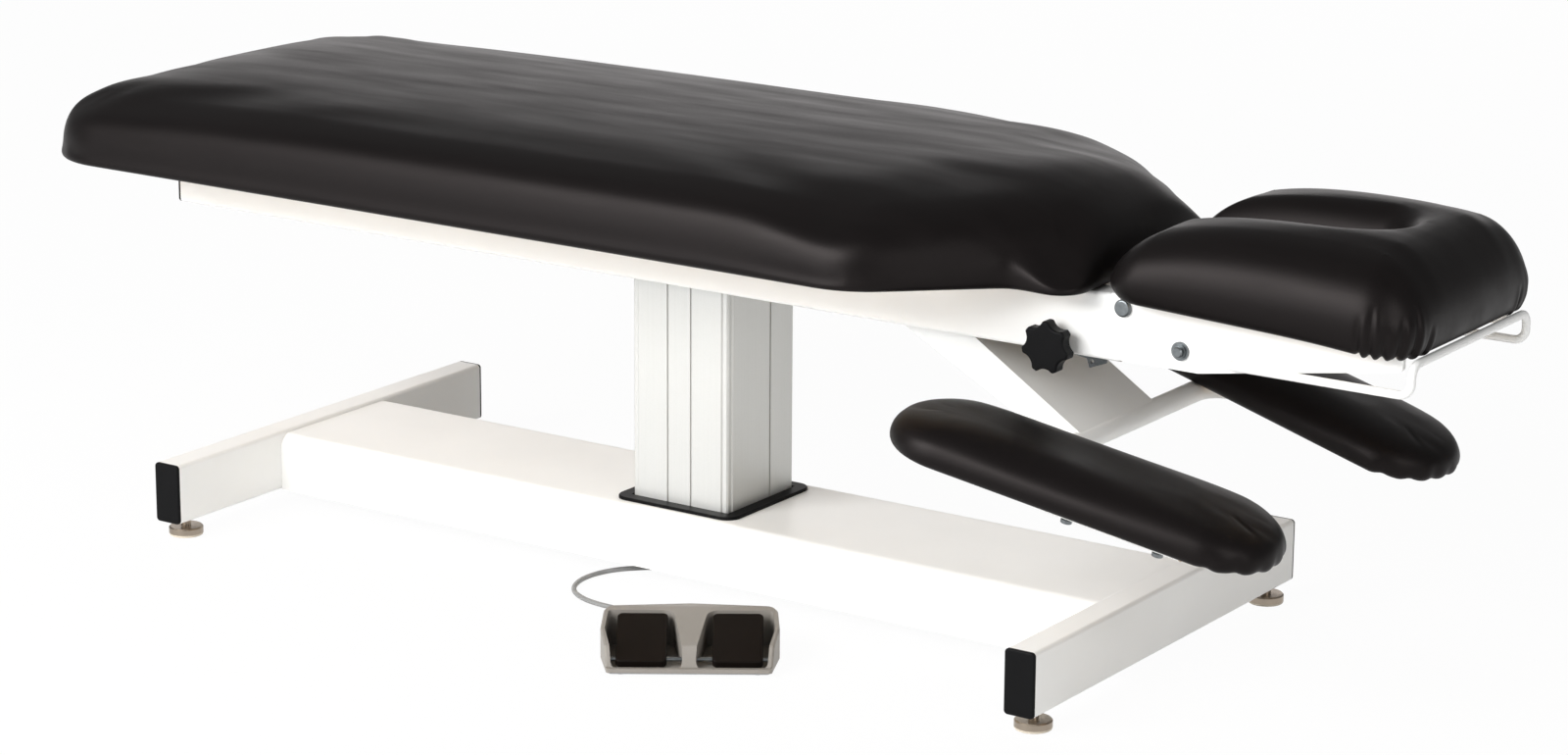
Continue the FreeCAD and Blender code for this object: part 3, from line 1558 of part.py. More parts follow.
# Contact switch under each pedal: a small block with a plunger
def pedal_switches():
    solids = []
    for x in (-s.pedal_offset, s.pedal_offset):
        block = Part.makeBox(s.micro_length, s.micro_width, s.micro_height)
        block.translate(Vector(x - s.micro_length / 2, s.micro_reach - s.micro_width / 2, s.well_floor))
        top = Vector(x, s.micro_reach, s.well_floor + s.micro_height)
        solids.append(block.fuse(cylinder(s.plunger_radius, s.plunger_height, top, Z_AXIS)))
    return shape_node("pedal_switches", Part.makeCompound(solids), switch_place)


pedal_switches()


# Rocker pedal, drawn level about its axle and then laid to its slope
def pedal(label, side):
    body = new_body(label)
    outline = new_sketch(body, "XY_Plane", y=s.pedal_depth / 2 - s.axle_inset, offset=s.pedal_top)
    add_rectangle(outline, "pedal_width", "pedal_depth")
    block = pad(body, outline, "pedal_height", reverse=True)
    corners = round_edges(body, block, "pedal_corner", lambda edge: along(edge, Z_AXIS))
    round_edges(body, corners, "pedal_edge", lambda edge: edge.CenterOfMass.z > s.pedal_top - s.pin_gap)
    bore = new_sketch(body, "YZ_Plane")
    add_circle(bore, "axle + pin_gap")
    pocket(body, bore)
    item = node(body)
    place = Placement(Vector(side * s.pedal_offset, -s.axle_side, s.axle_level), Rotation(X_AXIS, s.pedal_slope))
    item.Placement = switch_place.multiply(place)
    return item


pedal("pedal_left", -1)
pedal("pedal_right", 1)
gland = cylinder(s.gland_radius, s.gland_length, gland_start, Y_AXIS)
shape_node("cord_gland", gland, switch_place)

# Cord of the foot switch: over the floor in a loop, then up into the boot under the pan
CORD_TURNS = [
    (106, -216),
    (62, -203),
    (10, -209),
    (-42, -206),
    (-82, -182),
    (-99, -138),
    (-90, -92),
    (-62, -60),
    (-33, -40),
]
boot_rise = Rotation(Z_AXIS, s.boot_heading).multVec(Rotation(Y_AXIS, -s.boot_slope).multVec(X_AXIS))
boot_top = Vector(s.boot_reach, s.boot_side, s.beam_clearance)


def cord_route():
    start = switch_place.multVec(gland_start + Y_AXIS * s.gland_length)
    lead = switch_place.multVec(gland_start + Y_AXIS * (s.gland_length + s.cord_lead))
    foot = boot_top - boot_rise * ((s.beam_clearance - s.cord) / boot_rise.z)
    end = boot_top - boot_rise * s.boot_stop
    return [start, lead] + [Vector(x, y, s.cord) for x, y in CORD_TURNS] + [foot, end]


def pedal_cord():
    points = cord_route()
    radii = []
    for index in range(1, len(points) - 1):
        into = points[index - 1] - points[index]
        out = points[index + 1] - points[index]
        half_turn = (math.pi - into.getAngle(out)) / 2
        radii.append(s.cord_bend_share * min(into.Length, out.Length) / math.tan(half_turn))
    path = bent_path(points, radii)
    return shape_node("pedal_cord", swept(path, s.cord))


def cord_boot():
    start = boot_top - boot_rise * s.boot_length
    boot = cylinder(s.boot_radius, 2 * s.boot_length, start, boot_rise)
    bore = cylinder(s.cord, s.boot_length, start - boot_rise * s.boot_stop, boot_rise)
    above = Part.makeBox(4 * s.boot_length, 4 * s.boot_length, 2 * s.boot_length)
    above.translate(boot_top - Vector(2 * s.boot_length, 2 * s.boot_length, 0))
    return shape_node("cord_boot", boot.cut(above).cut(bore))


pedal_cord()
cord_boot()
doc.recompute()

# Centre the table on its own box, with the floor at zero; the corded switch doesn't count
box = None
for item in nodes:
    if not item.Label.startswith(("pedal", "cord")):
        part_box = item.Shape.optimalBoundingBox(False)
        box = part_box if box is None else box.united(part_box)
shift = Vector(-(box.XMin + box.XMax) / 2, -(box.YMin + box.YMax) / 2, -box.ZMin)
for item in nodes:
    item.Placement = Placement(shift, Rotation()).multiply(item.Placement)
doc.recompute()
print("shift", [round(value, 4) for value in shift], "size", box.XLength, box.YLength, box.ZLength)

for item in doc.Objects:
    if any(word in ("Invalid", "Error") for word in item.State):
        raise RuntimeError(item.Label + ": " + str(item.State))
for item in nodes:
    if item.Shape.isNull() or not item.Shape.isValid():
        raise RuntimeError(item.Label + ": no valid shape")

os.makedirs("parts", exist_ok=True)
for item in nodes:
    item.Shape.exportStep("parts/" + item.Label + ".step")
print(len(nodes), "parts written")
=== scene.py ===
import json
import math

import bmesh
import bpy
import numpy as np
from mathutils import Matrix, Vector
from mathutils.geometry import delaunay_2d_cdt


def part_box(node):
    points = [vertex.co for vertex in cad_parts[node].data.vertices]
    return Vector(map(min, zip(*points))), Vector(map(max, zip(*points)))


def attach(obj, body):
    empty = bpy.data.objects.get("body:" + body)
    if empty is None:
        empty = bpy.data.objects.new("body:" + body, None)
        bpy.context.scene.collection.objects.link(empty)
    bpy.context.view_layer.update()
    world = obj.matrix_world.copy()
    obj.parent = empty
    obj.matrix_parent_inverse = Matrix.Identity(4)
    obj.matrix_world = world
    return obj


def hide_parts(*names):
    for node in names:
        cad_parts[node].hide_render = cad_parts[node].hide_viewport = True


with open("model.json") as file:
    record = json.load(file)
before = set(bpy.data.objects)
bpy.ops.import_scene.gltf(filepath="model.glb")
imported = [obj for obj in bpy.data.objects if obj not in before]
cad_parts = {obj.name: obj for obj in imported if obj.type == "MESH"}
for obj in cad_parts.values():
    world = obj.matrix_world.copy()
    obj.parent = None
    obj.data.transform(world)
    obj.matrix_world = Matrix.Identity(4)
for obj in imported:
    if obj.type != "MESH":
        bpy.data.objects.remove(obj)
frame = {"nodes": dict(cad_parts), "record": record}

scene = bpy.context.scene
nodes = frame["nodes"]
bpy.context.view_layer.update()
mm = 0.001
tiny = 1e-9  # keeps divisions away from zero
print("frame loaded,", len(nodes), "pieces")

camera = {
    "place": (2.71841, -3.97509, 1.55194),  # metres, from the table's own centre
    "azimuth": 34.13,  # degrees round from the long side, towards the head end
    "elevation": 15.09,
    "roll": 0.37,
    "lens": 95.04,
    "sensor": 36.0,
    "farClip": 60.0,
}


def makeCamera(settings):
    data = bpy.data.cameras.new("camera")
    data.lens = settings["lens"]
    data.sensor_width = settings["sensor"]
    data.clip_end = settings["farClip"]
    eye = bpy.data.objects.new("camera", data)
    turn = Matrix.Rotation(math.radians(settings["azimuth"]), 4, "Z")
    lift = Matrix.Rotation(math.radians(90 - settings["elevation"]), 4, "X")
    roll = Matrix.Rotation(math.radians(settings["roll"]), 4, "Z")
    eye.matrix_world = Matrix.Translation(settings["place"]) @ turn @ lift @ roll
    scene.collection.objects.link(eye)
    scene.camera = eye


makeCamera(camera)
print("camera set")

cord = {
    "thickness": 6.0,  # mm
    "length": 488.0,
    "roundSteps": 5,  # round the cord, and along it between two points of the route
    "alongSteps": 16,
    "order": 3,
    "route": [  # from the boot under the base, over the floor, to the gland of the foot switch
        (-67.7, 8.23, 18.72), (-84.6, -10.41, 3), (-112.28, -40, 3), (-141.28, -60, 3), (-169.28, -92, 3),
        (-178.28, -138, 3), (-161.28, -182, 3), (-121.28, -206, 3), (-69.28, -209, 3), (-17.28, -203, 3),
        (26.72, -216, 3), (54.35, -233.16, 11), (66.69, -251.37, 11),
    ],
}


def makeCord(settings):
    curve = bpy.data.curves.new("foot_switch_cord", "CURVE")
    curve.dimensions = "3D"
    curve.bevel_depth = 1.0  # each point's radius sets the thickness
    curve.bevel_resolution = settings["roundSteps"]
    curve.resolution_u = settings["alongSteps"]
    spline = curve.splines.new("NURBS")
    spline.points.add(len(settings["route"]) - 1)
    for point, (x, y, z) in zip(spline.points, settings["route"]):
        point.co = (x * mm, y * mm, z * mm, 1)
        point.radius = settings["thickness"] / 2 * mm
    spline.order_u = settings["order"]
    spline.use_endpoint_u = True
    piece = bpy.data.objects.new("foot_switch_cord", curve)
    scene.collection.objects.link(piece)
    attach(piece, "base")
    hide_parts("pedal_cord")
    return piece


cordPiece = makeCord(cord)
print("cord laid")


# A plan's corners (x, y, radius, share) moved in by an inset, of which the run after a corner takes that
# share; convex corners tighten, down to the least radius, and hollow ones open
def insetCorners(corners, inset, least=4.0):
    moved = []
    for i, (x, y, radius, share) in enumerate(corners):
        here = Vector((x, y))
        into = (here - Vector(corners[i - 1][:2])).normalized()
        out = (Vector(corners[(i + 1) % len(corners)][:2]) - here).normalized()
        before, after = inset * corners[i - 1][3], inset * share
        bend = into.x * out.y - into.y * out.x
        here += (out * before - into * after) / bend
        changed = radius - math.copysign((before + after) / 2, bend)
        moved.append((here.x, here.y, max(changed, least), share))
    return moved


# Each corner's arc: its centre, the spoke to its start, its turn, and where it ends
def cornerArcs(corners):
    arcs = []
    for i, (x, y, radius, _) in enumerate(corners):
        here = Vector((x, y))
        into = (here - Vector(corners[i - 1][:2])).normalized()
        out = (Vector(corners[(i + 1) % len(corners)][:2]) - here).normalized()
        turn = math.atan2(into.x * out.y - into.y * out.x, into.dot(out))
        reach = radius * math.tan(abs(turn) / 2)
        side = math.copysign(radius, turn)
        start = here - into * reach
        centre = start + Vector((-into.y, into.x)) * side
        arcs.append((centre, start - centre, turn, here + out * reach))
    return arcs


# One closed ring round the plan, with so many steps on each arc and on each run after it
def ringPoints(corners, arcSteps, runSteps):
    arcs = cornerArcs(corners)
    points = []
    for i, (centre, spoke, turn, end) in enumerate(arcs):
        for k in range(arcSteps[i] + 1):
            angle = turn * k / arcSteps[i]
            points.append((centre.x + spoke.x * math.cos(angle) - spoke.y * math.sin(angle),
                           centre.y + spoke.x * math.sin(angle) + spoke.y * math.cos(angle)))
        following = arcs[(i + 1) % len(arcs)]
        goal = following[0] + following[1]
        for k in range(1, runSteps[i]):
            point = end.lerp(goal, k / runSteps[i])
            points.append((point.x, point.y))
    return points


# Which points lie inside a ring and clear of it by a margin
def insideRing(ring, points, margin):
    ring = np.array(ring)
    after = np.roll(ring, -1, axis=0)
    along = after - ring
    x, y = points[:, 0:1], points[:, 1:2]
    crosses = (ring[:, 1] > y) != (after[:, 1] > y)
    where = along[:, 0] * (y - ring[:, 1]) / np.where(along[:, 1] == 0, tiny, along[:, 1]) + ring[:, 0]
    inside = (crosses & (x < where)).sum(axis=1) % 2 == 1
    share = ((points[:, None] - ring) * along).sum(axis=2) / np.maximum((along ** 2).sum(axis=1), tiny)
    nearest = ring + along * np.clip(share, 0, 1)[..., None]
    gap = np.linalg.norm(points[:, None] - nearest, axis=2).min(axis=1)
    return inside & (gap > margin)


padGrid = {
    "arcSteps": 4,  # fewest steps round a corner
    "rimShare": 0.6,  # of the spacing, kept clear between a rim and the points inside it
    "weld": 1e-6,  # mm within which two points are one
}


# A closed pad in mm: rings of points stacked by level, and an even field of points over its top
def padMesh(name, corners, levels, spacing, shape):
    arcs = cornerArcs(corners)
    fewest = padGrid["arcSteps"]
    arcSteps = [max(fewest, math.ceil(abs(turn) * spoke.length / spacing)) for _, spoke, turn, _ in arcs]
    runSteps = []
    for i, (_, _, _, end) in enumerate(arcs):
        following = arcs[(i + 1) % len(arcs)]
        runSteps.append(max(1, round((following[0] + following[1] - end).length / spacing)))
    mesh = bmesh.new()
    rings = []
    for inset, height in levels:
        ring = ringPoints(insetCorners(corners, inset), arcSteps, runSteps)
        rings.append([mesh.verts.new((x, y, height)) for x, y in ring])
    for lower, upper in zip(rings, rings[1:]):
        for i in range(len(lower)):
            j = (i + 1) % len(lower)
            mesh.faces.new((lower[i], lower[j], upper[j], upper[i]))
    for ring, height, up in ((rings[0], levels[0][1], False), (rings[-1], levels[-1][1], True)):
        edge = [(vert.co.x, vert.co.y) for vert in ring]
        low, high = np.min(edge, axis=0), np.max(edge, axis=0)
        across = np.arange(low[1], high[1], spacing)
        field = np.array([(x, y) for x in np.arange(low[0], high[0], spacing) for y in across])
        inner = field[insideRing(edge, field, spacing * padGrid["rimShare"])] if up else field[:0]
        flat = [Vector(point) for point in edge] + [Vector(point) for point in inner]
        links = [(i, (i + 1) % len(edge)) for i in range(len(edge))]
        _, _, faces, origins, _, _ = delaunay_2d_cdt(flat, links, [], 1, padGrid["weld"])
        verts = list(ring) + [mesh.verts.new((x, y, height)) for x, y in inner]
        for face in faces:
            found = [verts[origins[i][0]] for i in face]
            mesh.faces.new(found if up else found[::-1])
    mesh.verts.ensure_lookup_table()
    for vert in mesh.verts:
        vert.co = Vector(shape(*vert.co))
    bmesh.ops.recalc_face_normals(mesh, faces=mesh.faces)
    data = bpy.data.meshes.new(name)
    mesh.to_mesh(data)
    mesh.free()
    data.transform(Matrix.Scale(mm, 4))
    piece = bpy.data.objects.new(name, data)
    scene.collection.objects.link(piece)
    return piece


def meshPoints(data):
    points = np.empty(len(data.vertices) * 3)
    data.vertices.foreach_get("co", points)
    return points.reshape(-1, 3)


def setMeshPoints(data, points):
    data.vertices.foreach_set("co", points.ravel())
    data.update()


def meshNormals(data):
    normals = np.empty(len(data.vertices) * 3)
    data.vertices.foreach_get("normal", normals)
    return normals.reshape(-1, 3)


# Keeps the mesh that a piece's modifiers give, and drops them
def applyModifiers(piece):
    depsgraph = bpy.context.evaluated_depsgraph_get()
    data = bpy.data.meshes.new_from_object(piece.evaluated_get(depsgraph))
    piece.modifiers.clear()
    piece.data = data


coverCloth = {
    "quality": 6,
    "mass": 0.4,
    "stretch": 30,
    "shear": 12,
    "bend": 2,
    "pressure": 4.0,
    "frames": 20,
}


# Air pressure fills the cover while its lower edge stays on the board: held is how high that edge
# reaches, and cap the most that a point may move, both in mm
def fillCover(piece, held, cap, settings):
    group = piece.vertex_groups.new(name="held")
    rest = meshPoints(piece.data)
    pinned = np.nonzero(rest[:, 2] < rest[:, 2].min() + held * mm)[0]
    group.add([int(i) for i in pinned], 1.0, "REPLACE")
    cloth = piece.modifiers.new("cover", "CLOTH")
    cloth.settings.quality = settings["quality"]
    cloth.settings.mass = settings["mass"]
    cloth.settings.tension_stiffness = settings["stretch"]
    cloth.settings.compression_stiffness = settings["stretch"]
    cloth.settings.shear_stiffness = settings["shear"]
    cloth.settings.bending_stiffness = settings["bend"]
    cloth.settings.vertex_group_mass = "held"
    cloth.settings.use_pressure = True
    cloth.settings.uniform_pressure_force = settings["pressure"]
    cloth.settings.effector_weights.gravity = 0
    cloth.point_cache.frame_start = 1
    cloth.point_cache.frame_end = settings["frames"]
    for step in range(1, settings["frames"] + 1):
        scene.frame_set(step)
    applyModifiers(piece)
    filled = meshPoints(piece.data)
    move = filled - rest
    far = np.linalg.norm(move, axis=1, keepdims=True)
    setMeshPoints(piece.data, rest + move * np.minimum(1, cap * mm / np.maximum(far, tiny)))
    piece.vertex_groups.clear()
    scene.frame_set(1)


# Foam under the cover rounds off sharp folds: eases the points above the edge, fully near the head end
def easeFolds(piece, headEnd, settings):
    group = piece.vertex_groups.new(name="eased")
    points = meshPoints(piece.data) / mm
    for i, (x, y, z) in enumerate(points - (0, 0, points[:, 2].min())):
        if z > settings["above"]:
            near = np.clip((settings["reach"] - headEnd + x) / settings["blend"], 0, 1)
            group.add([i], settings["least"] + (1 - settings["least"]) * near, "REPLACE")
    ease = piece.modifiers.new("ease", "SMOOTH")
    ease.factor = settings["factor"]
    ease.iterations = settings["rounds"]
    ease.vertex_group = "eased"
    applyModifiers(piece)
    piece.vertex_groups.clear()


def smoothPad(piece, levels):
    subdivision = piece.modifiers.new("subdivision", "SUBSURF")
    subdivision.levels = levels
    subdivision.render_levels = levels
    applyModifiers(piece)
    piece.data.shade_smooth()


def finishPad(piece, body, node):
    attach(piece, body)
    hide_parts(node)
    print(node, "made,", len(piece.data.vertices), "points")


def bell(distance, width):
    return math.exp(-(distance / width) ** 2)


mainCushion = {
    "spacing": 11.0,  # mm between mesh points before it is smoothed
    "shoulder": 215.0,  # from the head end to where the sides start to taper
    "neck": 79.0,
    "neckHalf": 181.0,
    "footCorner": 105.0,
    "shoulderCorner": 110.0,
    "neckCorner": 30.0,
    "headCorner": 38.0,
    "levels": [  # drawn in from the outline, height above the board's underside
        (16.0, 12.6), (16.0, 0.6), (9.0, 0.2), (3.5, 2.0), (0.8, 7.0), (0.0, 16.0), (0.0, 26.0),
        (0.5, 36.0), (2.2, 46.0), (4.8, 56.0), (8.4, 64.3), (13.0, 71.0), (19.0, 76.0), (27.0, 79.8),
        (37.0, 83.0), (48.0, 85.6), (55.0, 87.0),
    ],
    "crown": 18.0,
    "pulls": [  # where the cover draws the foam down: end, distance from it, y, depth, reach along and across
        ("foot", 0.0, 300.0, 14.0, 300.0, 60.0),
        ("head", 240.0, 300.0, 19.0, 90.0, 60.0),
        ("head", 147.0, 235.0, 8.0, 80.0, 70.0),
        ("head", 10.0, 181.0, 62.0, 62.0, 62.0),
    ],
    "rolls": [("foot", 7.0, 108.0), ("head", 8.0, 60.0)],  # how the ends fall away: depth, reach
    "ease": {  # above the edge by so much, within a reach of the head end, and least elsewhere
        "above": 14.0, "reach": 300.0, "blend": 80.0, "least": 0.25, "factor": 0.5, "rounds": 10,
    },
    "held": 10.0,
    "cap": 4.0,
    "smooth": 1,
    "fill": 0.8,
}


def makeMainCushion(settings):
    low, high = [Vector(corner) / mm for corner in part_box("main_cushion")]
    half = high.y
    neck = settings["neckHalf"]
    shoulderAt, neckAt = high.x - settings["shoulder"], high.x - settings["neck"]
    nearSide = [
        (low.x, -half, settings["footCorner"], 1),
        (shoulderAt, -half, settings["shoulderCorner"], 1),
        (neckAt, -neck, settings["neckCorner"], 1),
        (high.x, -neck, settings["headCorner"], 1),
    ]
    corners = nearSide + [(x, -y, radius, 1) for x, y, radius, _ in reversed(nearSide)]
    top = settings["levels"][-1][1]
    ends = {"foot": (low.x, 1), "head": (high.x, -1)}

    def shape(x, y, z):
        wide = np.interp(x, (shoulderAt, neckAt), (half, neck))
        lift = settings["crown"] * (1 - (y / wide) ** 2)
        for name, depth, reach in settings["rolls"]:
            fade = bell(x - ends[name][0], reach)
            lift = lift * (1 - fade) - depth * fade
        for name, inward, across, depth, along, aside in settings["pulls"]:
            end, side = ends[name]
            lift -= depth * bell(x - end - side * inward, along) * bell(abs(y) - across, aside)
        return x, y, z + lift * max(z, 0) / top

    piece = padMesh("main_cushion_cover", corners, settings["levels"], settings["spacing"], shape)
    piece.data.transform(Matrix.Translation((0, 0, low.z * mm)))
    fillCover(piece, settings["held"], settings["cap"], coverCloth)
    easeFolds(piece, high.x, settings["ease"])
    smoothPad(piece, settings["smooth"])
    finishPad(piece, "top", "main_cushion")
    return piece


mainCushionPiece = makeMainCushion(mainCushion)


gatherForm = {
    "blend": 12.0,  # mm over which the creases begin, outwards from their inner end
    "foldShare": 0.55,  # of a crease's depth, how far the fold beside it stands out
    "foldAway": 2.0,  # crease widths between a crease and its fold
    "foldWidth": 1.3,
    "reachShare": 0.75,  # of the full height, how far up the creases go
    "reachSwing": 0.25,  # and how much that differs from one to the next
    "reachStep": 2.1,
    "fade": 0.7,
}


# Gathers at the lower edge of a rounded end: creases that fade upwards, with a fold beside each
def gatherCover(piece, centre, side, settings):
    points, normals = meshPoints(piece.data), meshNormals(piece.data)
    spoke = points[:, :2] / mm - np.array(centre)
    radius = np.linalg.norm(spoke, axis=1)
    angle = -np.degrees(np.arctan2(spoke[:, 1] * side, spoke[:, 0]))
    height = points[:, 2] / mm
    outer = np.clip((radius - settings["inner"]) / gatherForm["blend"], 0, 1)
    for k, degrees in enumerate(settings["angles"]):
        away = (angle - degrees) / settings["width"]
        fold = np.exp(-((away - gatherForm["foldAway"]) / gatherForm["foldWidth"]) ** 2)
        crease = np.exp(-away ** 2) - gatherForm["foldShare"] * fold
        swing = gatherForm["reachSwing"] * math.sin(gatherForm["reachStep"] * k)
        reach = settings["height"] * (gatherForm["reachShare"] + swing)
        tall = np.clip(1 - height / reach, 0, 1) ** gatherForm["fade"]
        points -= normals * (crease * tall * outer * settings["depth"] * mm)[:, None]
    setMeshPoints(piece.data, points)


headCushion = {
    "spacing": 8.0,
    "place": (552.72, 0.0, 464.3),  # middle of its table end, on the board's underside
    "tilt": 2.6,
    "length": 364.0,
    "half": 172.0,
    "slotHalf": 38.0,
    "slotLength": 262.0,
    "slotEase": 1.0,  # how much less than half the slot its round end's corners take
    "tableCorner": 46.0,
    "headCorner": 58.0,
    "lip": 24.0,
    "levels": [
        (16.0, 12.6), (16.0, 0.6), (9.5, 0.2), (4.0, 2.5), (0.5, 9.0), (-2.0, 19.0), (-2.0, 30.0),
        (0.5, 41.0), (5.0, 51.5), (11.5, 61.0), (20.0, 69.0), (30.0, 75.5), (41.0, 80.0), (54.0, 82.5),
    ],
    "crest": [  # distance from the table end, height of the arms' tops
        (0, 62), (30, 75), (68, 86), (118, 95), (168, 101), (218, 104.5), (268, 106), (308, 105),
        (338, 99), (364, 89),
    ],
    "crestDegree": 5,
    "crestLine": 84.0,  # where the tops run, out from the middle
    "lineBlend": 60.0,
    "outerFall": (2.0, 6.0),  # how far the tops fall towards the sides, and how much more at the head end
    "fallStart": 68.0,  # where that fall begins to grow, and over what run
    "fallRun": 200.0,
    "lipShare": 0.55,  # how much tighter the slot's lips are than the outer sides
    "bulge": 3.5,  # how far the head end's face stands out, low down
    "bulgeLow": 0.7,
    "bulgeWide": 120.0,
    "bulgeReach": 60.0,
    "tableBulge": 4.0,
    "hem": 5.0,  # how far the cover hangs lower at the head end
    "hemHeight": 30.0,
    "hemReach": 80.0,
    "held": 10.0,
    "cap": 4.0,
    "smooth": 2,
    "fill": 0.85,
    "gathers": {
        "angles": (-86, -72, -57, -39, -21, 2), "inner": 34.0, "depth": 3.2, "width": 3.2, "height": 58.0,
    },
}


def makeHeadCushion(settings):
    half, slot, length = settings["half"], settings["slotHalf"], settings["length"]
    reach = settings["slotLength"]
    tight = settings["lipShare"]
    corners = [
        (0, -half, settings["tableCorner"], 1), (length, -half, settings["headCorner"], 1),
        (length, half, settings["headCorner"], 1), (0, half, settings["tableCorner"], 1),
        (0, slot, settings["lip"], tight), (reach, slot, slot - settings["slotEase"], tight),
        (reach, -slot, slot - settings["slotEase"], tight), (0, -slot, settings["lip"], 1),
    ]
    top = settings["levels"][-1][1]
    crest = np.polynomial.Polynomial.fit(*zip(*settings["crest"]), settings["crestDegree"])
    line = settings["crestLine"]

    def shape(x, y, z):
        lift = crest(min(max(x, 0), length)) - top
        outward = math.sin(math.pi / 2 * min(max((abs(y) - line) / settings["lineBlend"], 0), 1))
        level, more = settings["outerFall"]
        grown = min(max((x - settings["fallStart"]) / settings["fallRun"], 0), 1) ** 2
        lift -= outward * (level + more * grown)
        rise = min(max(z / top, 0), 1)
        out = settings["bulge"] * math.sin(math.pi * rise ** settings["bulgeLow"])
        out *= bell(y, settings["bulgeWide"])
        out *= bell(x - length, settings["bulgeReach"])
        back = settings["tableBulge"] * math.sin(math.pi * rise) * bell(x, settings["bulgeReach"])
        low = 1 - min(z / settings["hemHeight"], 1)
        hang = settings["hem"] * low * bell(x - length, settings["hemReach"])
        return x + out - back, y, z + lift * max(z, 0) / top - hang

    piece = padMesh("headpiece_cushion_cover", corners, settings["levels"], settings["spacing"], shape)
    fillCover(piece, settings["held"], settings["cap"], coverCloth)
    smoothPad(piece, settings["smooth"])
    inward = settings["headCorner"]
    for side in (-1, 1):
        gatherCover(piece, (length - inward, side * (half - inward)), side, settings["gathers"])
    turn = Matrix.Rotation(math.radians(settings["tilt"]), 4, "Y")
    piece.data.transform(Matrix.Translation(Vector(settings["place"]) * mm) @ turn)
    finishPad(piece, "headpiece", "headpiece_cushion")
    return piece


headCushionPiece = makeHeadCushion(headCushion)

armPads = {
    "spacing": 7.0,
    "tube": (480.67, 0.0, 270.59),  # middle of the arm tube's cross part
    "slope": 12.7,
    "pad": (96.8, 237.8, 12.9),  # along the slope, out from the middle, above the tube's centre
    "toe": 9.1,  # degrees that each pad lies off the table's length
    "length": 456.0,
    "width": 158.0,
    "corner": 74.0,
    "levels": [
        (16.0, 12.6), (16.0, 0.6), (8.5, 0.2), (3.5, 2.0), (0.6, 7.0), (0.0, 14.0), (1.2, 22.0),
        (4.5, 30.0), (10.0, 36.5), (18.0, 41.0), (28.0, 43.6), (40.0, 44.8), (54.0, 45.2),
    ],
    "crown": 1.5,
    "endDrop": 9.0,
    "endReach": 60.0,
    "held": 8.0,
    "cap": 3.0,
    "smooth": 1,
    "fill": 0.85,
    "gathers": {
        "angles": (-78, -52, -29, -8, 14, 38, 64),
        "inner": 50.0, "depth": 1.8, "width": 5.0, "height": 26.0,
    },
}


def makeArmPad(settings, name, side):
    long, wide = settings["length"] / 2, settings["width"] / 2
    plan = ((-long, -wide), (long, -wide), (long, wide), (-long, wide))
    corners = [(x, y, settings["corner"], 1) for x, y in plan]
    top = settings["levels"][-1][1]

    def shape(x, y, z):
        lift = settings["crown"] * (1 - (y / wide) ** 2)
        lift -= settings["endDrop"] * bell(abs(x) - long, settings["endReach"])
        return x, y, z + lift * max(z, 0) / top

    piece = padMesh(f"arm_pad_{name}_cover", corners, settings["levels"], settings["spacing"], shape)
    fillCover(piece, settings["held"], settings["cap"], coverCloth)
    smoothPad(piece, settings["smooth"])
    gatherCover(piece, (long - settings["corner"], 0), side, settings["gathers"])
    x, y, z = settings["pad"]
    slope = Matrix.Rotation(math.radians(settings["slope"]), 4, "Y")
    tube = Matrix.Translation(Vector(settings["tube"]) * mm) @ slope
    leg = Matrix.Rotation(math.radians(-side * settings["toe"]), 4, "Z")
    piece.data.transform(tube @ Matrix.Translation((x * mm, side * y * mm, z * mm)) @ leg)
    finishPad(piece, "arms", f"arm_pad_{name}")
    return piece


armPadPieces = [makeArmPad(armPads, "near", -1), makeArmPad(armPads, "far", 1)]
print("cushions made")


def linear(colour):  # sRGB hex to linear
    channels = [int(colour[i:i + 2], 16) / 255 for i in (1, 3, 5)]
    return [c / 12.92 if c <= 0.04045 else ((c + 0.055) / 1.055) ** 2.4 for c in channels] + [1.0]


# Adds one node: inputs are values or other nodes' outputs, and feeds says which sockets its first
# output goes to
def addNode(tree, kind, inputs={}, feeds=(), **settings):
    made = tree.nodes.new(kind)
    for name, value in settings.items():
        setattr(made, name, value)
    for name, value in inputs.items():
        if isinstance(value, bpy.types.NodeSocket):
            tree.links.new(value, made.inputs[name])
        else:
            made.inputs[name].default_value = value
    result = next(socket for socket in made.outputs if socket.enabled)
    for socket in feeds:
        tree.links.new(result, socket)
    return result


# A new material with its shader's plain values, and the place on the piece for its patterns
def startMaterial(name, **shaderInputs):
    material = bpy.data.materials.new(name)
    material.use_nodes = True
    tree = material.node_tree
    shader = tree.nodes["Principled BSDF"]
    for socket, value in shaderInputs.items():
        shader.inputs[socket.replace("_", " ")].default_value = value
    place = tree.nodes.new("ShaderNodeTexCoord").outputs["Object"]
    return material, tree, shader.inputs, place


vinyl = {
    "colour": "#0c0a0a",
    "worn": "#131010",
    "pebble": 1.4,  # mm across a pebble of the embossed grain
    "pores": 2.5,  # to a pebble's width
    "grainStrength": 0.3,
    "grainDepth": 0.15,  # mm
    "crease": 5.0,  # mm between the faint creases that run along the table
    "creaseStrength": 0.1,
    "creaseDepth": 0.05,
    "stretch": 0.16,  # a crease's width as a share of its length
    "cloud": 33.3,  # mm across the patches where the cover is rubbed smoother
    "roughness": 0.42,
    "spread": 0.05,
    "specular": 0.14,
    "tint": "#fff4f2",
}


